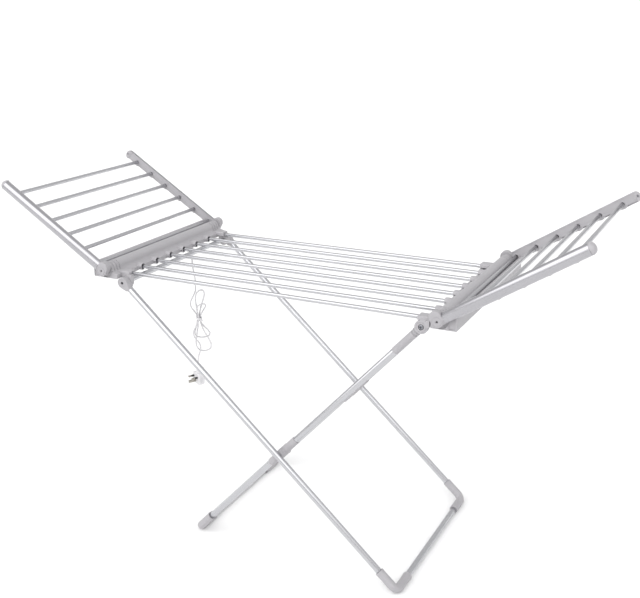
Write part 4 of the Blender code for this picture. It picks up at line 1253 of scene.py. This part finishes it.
def makeElbow(letter):        # for the hand +1
    parts, past = elbowParts, plan["past"]
    _, length, angle = legMatrix(letter)
    offset, sole = legParts["offset"][letter], -legParts["foot"][letter][1]
    legMouth, footMouth = length - parts["legSleeve"], offset - parts["footSleeve"]
    clearSelection()
    bpy.ops.mesh.primitive_circle_add(vertices=parts["sides"], radius=parts["radius"], fill_type="NGON",
                                      location=(legMouth, offset, 0), rotation=(0, math.pi / 2, 0))
    elbow = settle(bpy.context.object)
    bpy.ops.object.mode_set(mode="EDIT")
    bpy.ops.mesh.select_all(action="SELECT")
    bpy.ops.mesh.extrude_region_move(TRANSFORM_OT_translate={"value": (parts["legSleeve"] - parts["bend"], 0, 0)})
    bpy.ops.mesh.spin(steps=parts["bendSteps"], angle=math.pi / 2, axis=(0, 0, 1),
                      center=(length - parts["bend"], offset - parts["bend"], 0))
    bpy.ops.mesh.extrude_region_move(TRANSFORM_OT_translate={"value": (0, parts["bend"] - parts["footSleeve"], 0)})
    bpy.ops.mesh.select_all(action="SELECT")
    bpy.ops.mesh.remove_doubles(threshold=0.000001)
    bpy.ops.mesh.normals_make_consistent(inside=False)
    bpy.ops.object.mode_set(mode="OBJECT")
    combine(elbow, [addTurned(parts["lip"], (legMouth, offset, 0), (1, 0, 0)),
                    addTurned(parts["lip"], (length, footMouth, 0), (0, 1, 0))], "UNION")
    reach, ribHalf = parts["bend"] + parts["legSleeve"], parts["ribWide"] / 2
    under = addBlock((-reach, -reach, sole - parts["soleDeep"]), (reach, reach, sole))
    places = [-parts["ribFirst"] - index * parts["ribPitch"] for index in range(parts["ribCount"])]
    combine(under, [addBlock((-reach, across - ribHalf, sole - parts["ribLap"]),
                             (reach, across + ribHalf, sole + parts["ribDeep"])) for across in places], "UNION")
    moveTo(under, Matrix.Translation((length, offset, 0)) @ Matrix.Rotation(-angle, 4, "Y"))
    return combine(elbow, [addRodX(parts["bore"], legMouth - past, length - parts["stop"], offset),
                           addRodY(parts["bore"], footMouth - past, offset - parts["stop"], length),
                           under], "DIFFERENCE")


sleeveParts = {
    "crossing": 0.5253,
    # place along the leg from the crossing, and radius
    "body": [(-0.0530, 0.0083), (-0.0530, 0.0090), (-0.0522, 0.0095), (-0.0460, 0.0099), (-0.0200, 0.0099),
             (-0.0185, 0.0109), (0.0185, 0.0109), (0.0200, 0.0099), (0.0460, 0.0099), (0.0522, 0.0095),
             (0.0530, 0.0090), (0.0530, 0.0083)],
    # place out towards the other frame's leg from the middle of this one, and radius
    "boss": [(0.0085, 0.0), (0.0085, 0.0098), (0.0118, 0.0096), (0.0128, 0.0084), (0.0220, 0.0080),
             (0.0227, 0.0074), (0.0227, 0.0)],
    "bore": 0.0083,
    "boreHalf": 0.06,
}


def makeSleeve():             # for the hand +1
    parts = sleeveParts
    x, y = parts["crossing"], legParts["offset"]["b"]
    sleeve = addTurned(parts["body"], (x, y, 0), (1, 0, 0), 44)
    combine(sleeve, [addTurned(parts["boss"], (x, y, 0), (0, 1, 0), 40)], "UNION")
    return combine(sleeve, [addRodX(parts["bore"], x - parts["boreHalf"], x + parts["boreHalf"], y)], "DIFFERENCE")


def makeLegFittings():
    parts, recess = legParts, plan["recessDepth"]
    for letter in ("a", "b"):
        matrix = legMatrix(letter)[0]
        body, label = f"leg_frame_{letter}", f"leg{letter.upper()}"
        masters = {"knuckle": makeKnuckle(letter), "elbow": makeElbow(letter)}
        for hand in (-1, 1):
            depth = "near" if hand * parts["side"][letter] > 0 else "far"
            for kind, master in masters.items():
                placeCopy(master, matrix, hand, f"{label}{kind.title()}{depth.title()}", "elbows", body,
                          f"leg_{letter}_{kind}_{depth}")
            name, across = f"{label}PivotScrew{depth.title()}", matrix.to_3x3() @ Vector((0, hand, 0))
            if letter == "a":
                reach = parts["offset"]["a"] + parts["half"]["a"] - recess + parts["screwLift"]
                # painted near black, as the shade of the recess this screw sits in
                addScrew(name, matrix @ Vector((0, hand * reach, 0)), across, body, look="holeShadeScrews")
            else:
                seat = matrix @ Vector((0, hand * (beamParts["earOuter"] - recess), 0))
                addScrew(name, seat, across, "top_frame", plan["earScrewRadius"])
        discard(*masters.values())
    sleeve = makeSleeve()
    for hand, depth in ((-1, "far"), (1, "near")):
        placeCopy(sleeve, legMatrix("b")[0], hand, f"pivotSleeve{depth.title()}", "elbows", "pivot_sleeves",
                  f"pivot_sleeve_{depth}")
    discard(sleeve)


makeWings()
print("wings made")
makeLegFittings()
discard(bpy.data.objects["screwMaster"])
print("leg fittings made")


# stage and light

studio = {
    "floorSize": 400.0,       # runs to the horizon
    "floorColour": "#FAFAFA",
    "floorRoughness": 0.9,
    "skyColour": "#FFFFFF",
    "brightSide": (-0.12, -0.74, 0.66),       # one long softbox in front and above
    "brightSquash": (0.35, 1.0, 1.0),         # stretched from side to side
    "skyDim": 0.75,
    "skyBright": 2.50,
    "skyFrom": 0.79,
    "skyTo": 0.99,
    "sunStrength": 0.30,
    "sunSpreadDeg": 50,       # a wide, soft source
    "sunFrom": (0.9, -0.2, 0.9),
    "sunHeight": 4,
}


def makeStage(settings):
    clearSelection()
    bpy.ops.mesh.primitive_plane_add(size=settings["floorSize"])
    floor = bpy.context.object
    floor.name = "studioFloor"
    material, _, shader = startMaterial("matPaperSweep", settings["floorColour"], settings["floorRoughness"])
    shader.inputs["IOR"].default_value = 1.0          # paper, with no sheen at a low angle
    floor.data.materials.append(material)
    world = bpy.data.worlds.new("studioWorld")
    world.use_nodes = True
    sky = world.node_tree
    sky.nodes["Background"].inputs["Color"].default_value = linearColour(settings["skyColour"])
    direction = addNode(sky, "ShaderNodeTexCoord")
    squashed = addNode(sky, "ShaderNodeVectorMath", {"operation": "MULTIPLY", 1: settings["brightSquash"]},
                       {0: direction.outputs["Generated"]})
    heading = addNode(sky, "ShaderNodeVectorMath", {"operation": "NORMALIZE"}, {0: squashed.outputs["Vector"]})
    facing = addNode(sky, "ShaderNodeVectorMath", {"operation": "DOT_PRODUCT", 1: settings["brightSide"]},
                     {0: heading.outputs["Vector"]})
    level = addNode(sky, "ShaderNodeMapRange", {
        "interpolation_type": "SMOOTHSTEP", "From Min": settings["skyFrom"], "From Max": settings["skyTo"],
        "To Min": settings["skyDim"], "To Max": settings["skyBright"],
    }, {"Value": facing.outputs["Value"]})
    sky.links.new(level.outputs["Result"], sky.nodes["Background"].inputs["Strength"])
    bpy.context.scene.world = world
    bpy.context.scene.view_settings.view_transform = "Standard"
    clearSelection()
    bpy.ops.object.light_add(type="SUN", location=(0, 0, settings["sunHeight"]))
    sun = bpy.context.object
    sun.name = "softSun"
    sun.data.energy = settings["sunStrength"]
    sun.data.angle = math.radians(settings["sunSpreadDeg"])
    sun.rotation_euler = (-Vector(settings["sunFrom"])).to_track_quat("-Z", "Y").to_euler()


makeStage(studio)
print("stage and light set")


# CAD nodes that stay get their finishes

for nodeName, node in frame["nodes"].items():
    if "cable" in nodeName:
        keep = "cable"
    elif "elbow" in nodeName or "sleeve" in nodeName or ("leg_" in nodeName and "knuckle" in nodeName):
        keep = "elbows"
    elif "rail" in nodeName:
        keep = "railsLeft" if "left" in nodeName else "railsRight"
    elif "liner" in nodeName:
        keep = "liners"
    elif "mains_lead" in nodeName or "tie" in nodeName:
        keep = "sheath"
    elif "plug" in nodeName:
        keep = "plug"
    elif "tube" in nodeName or "bar" in nodeName:
        keep = "bars"
    else:
        keep = "beams"
    node.data.materials.clear()
    node.data.materials.append(finishes[keep])
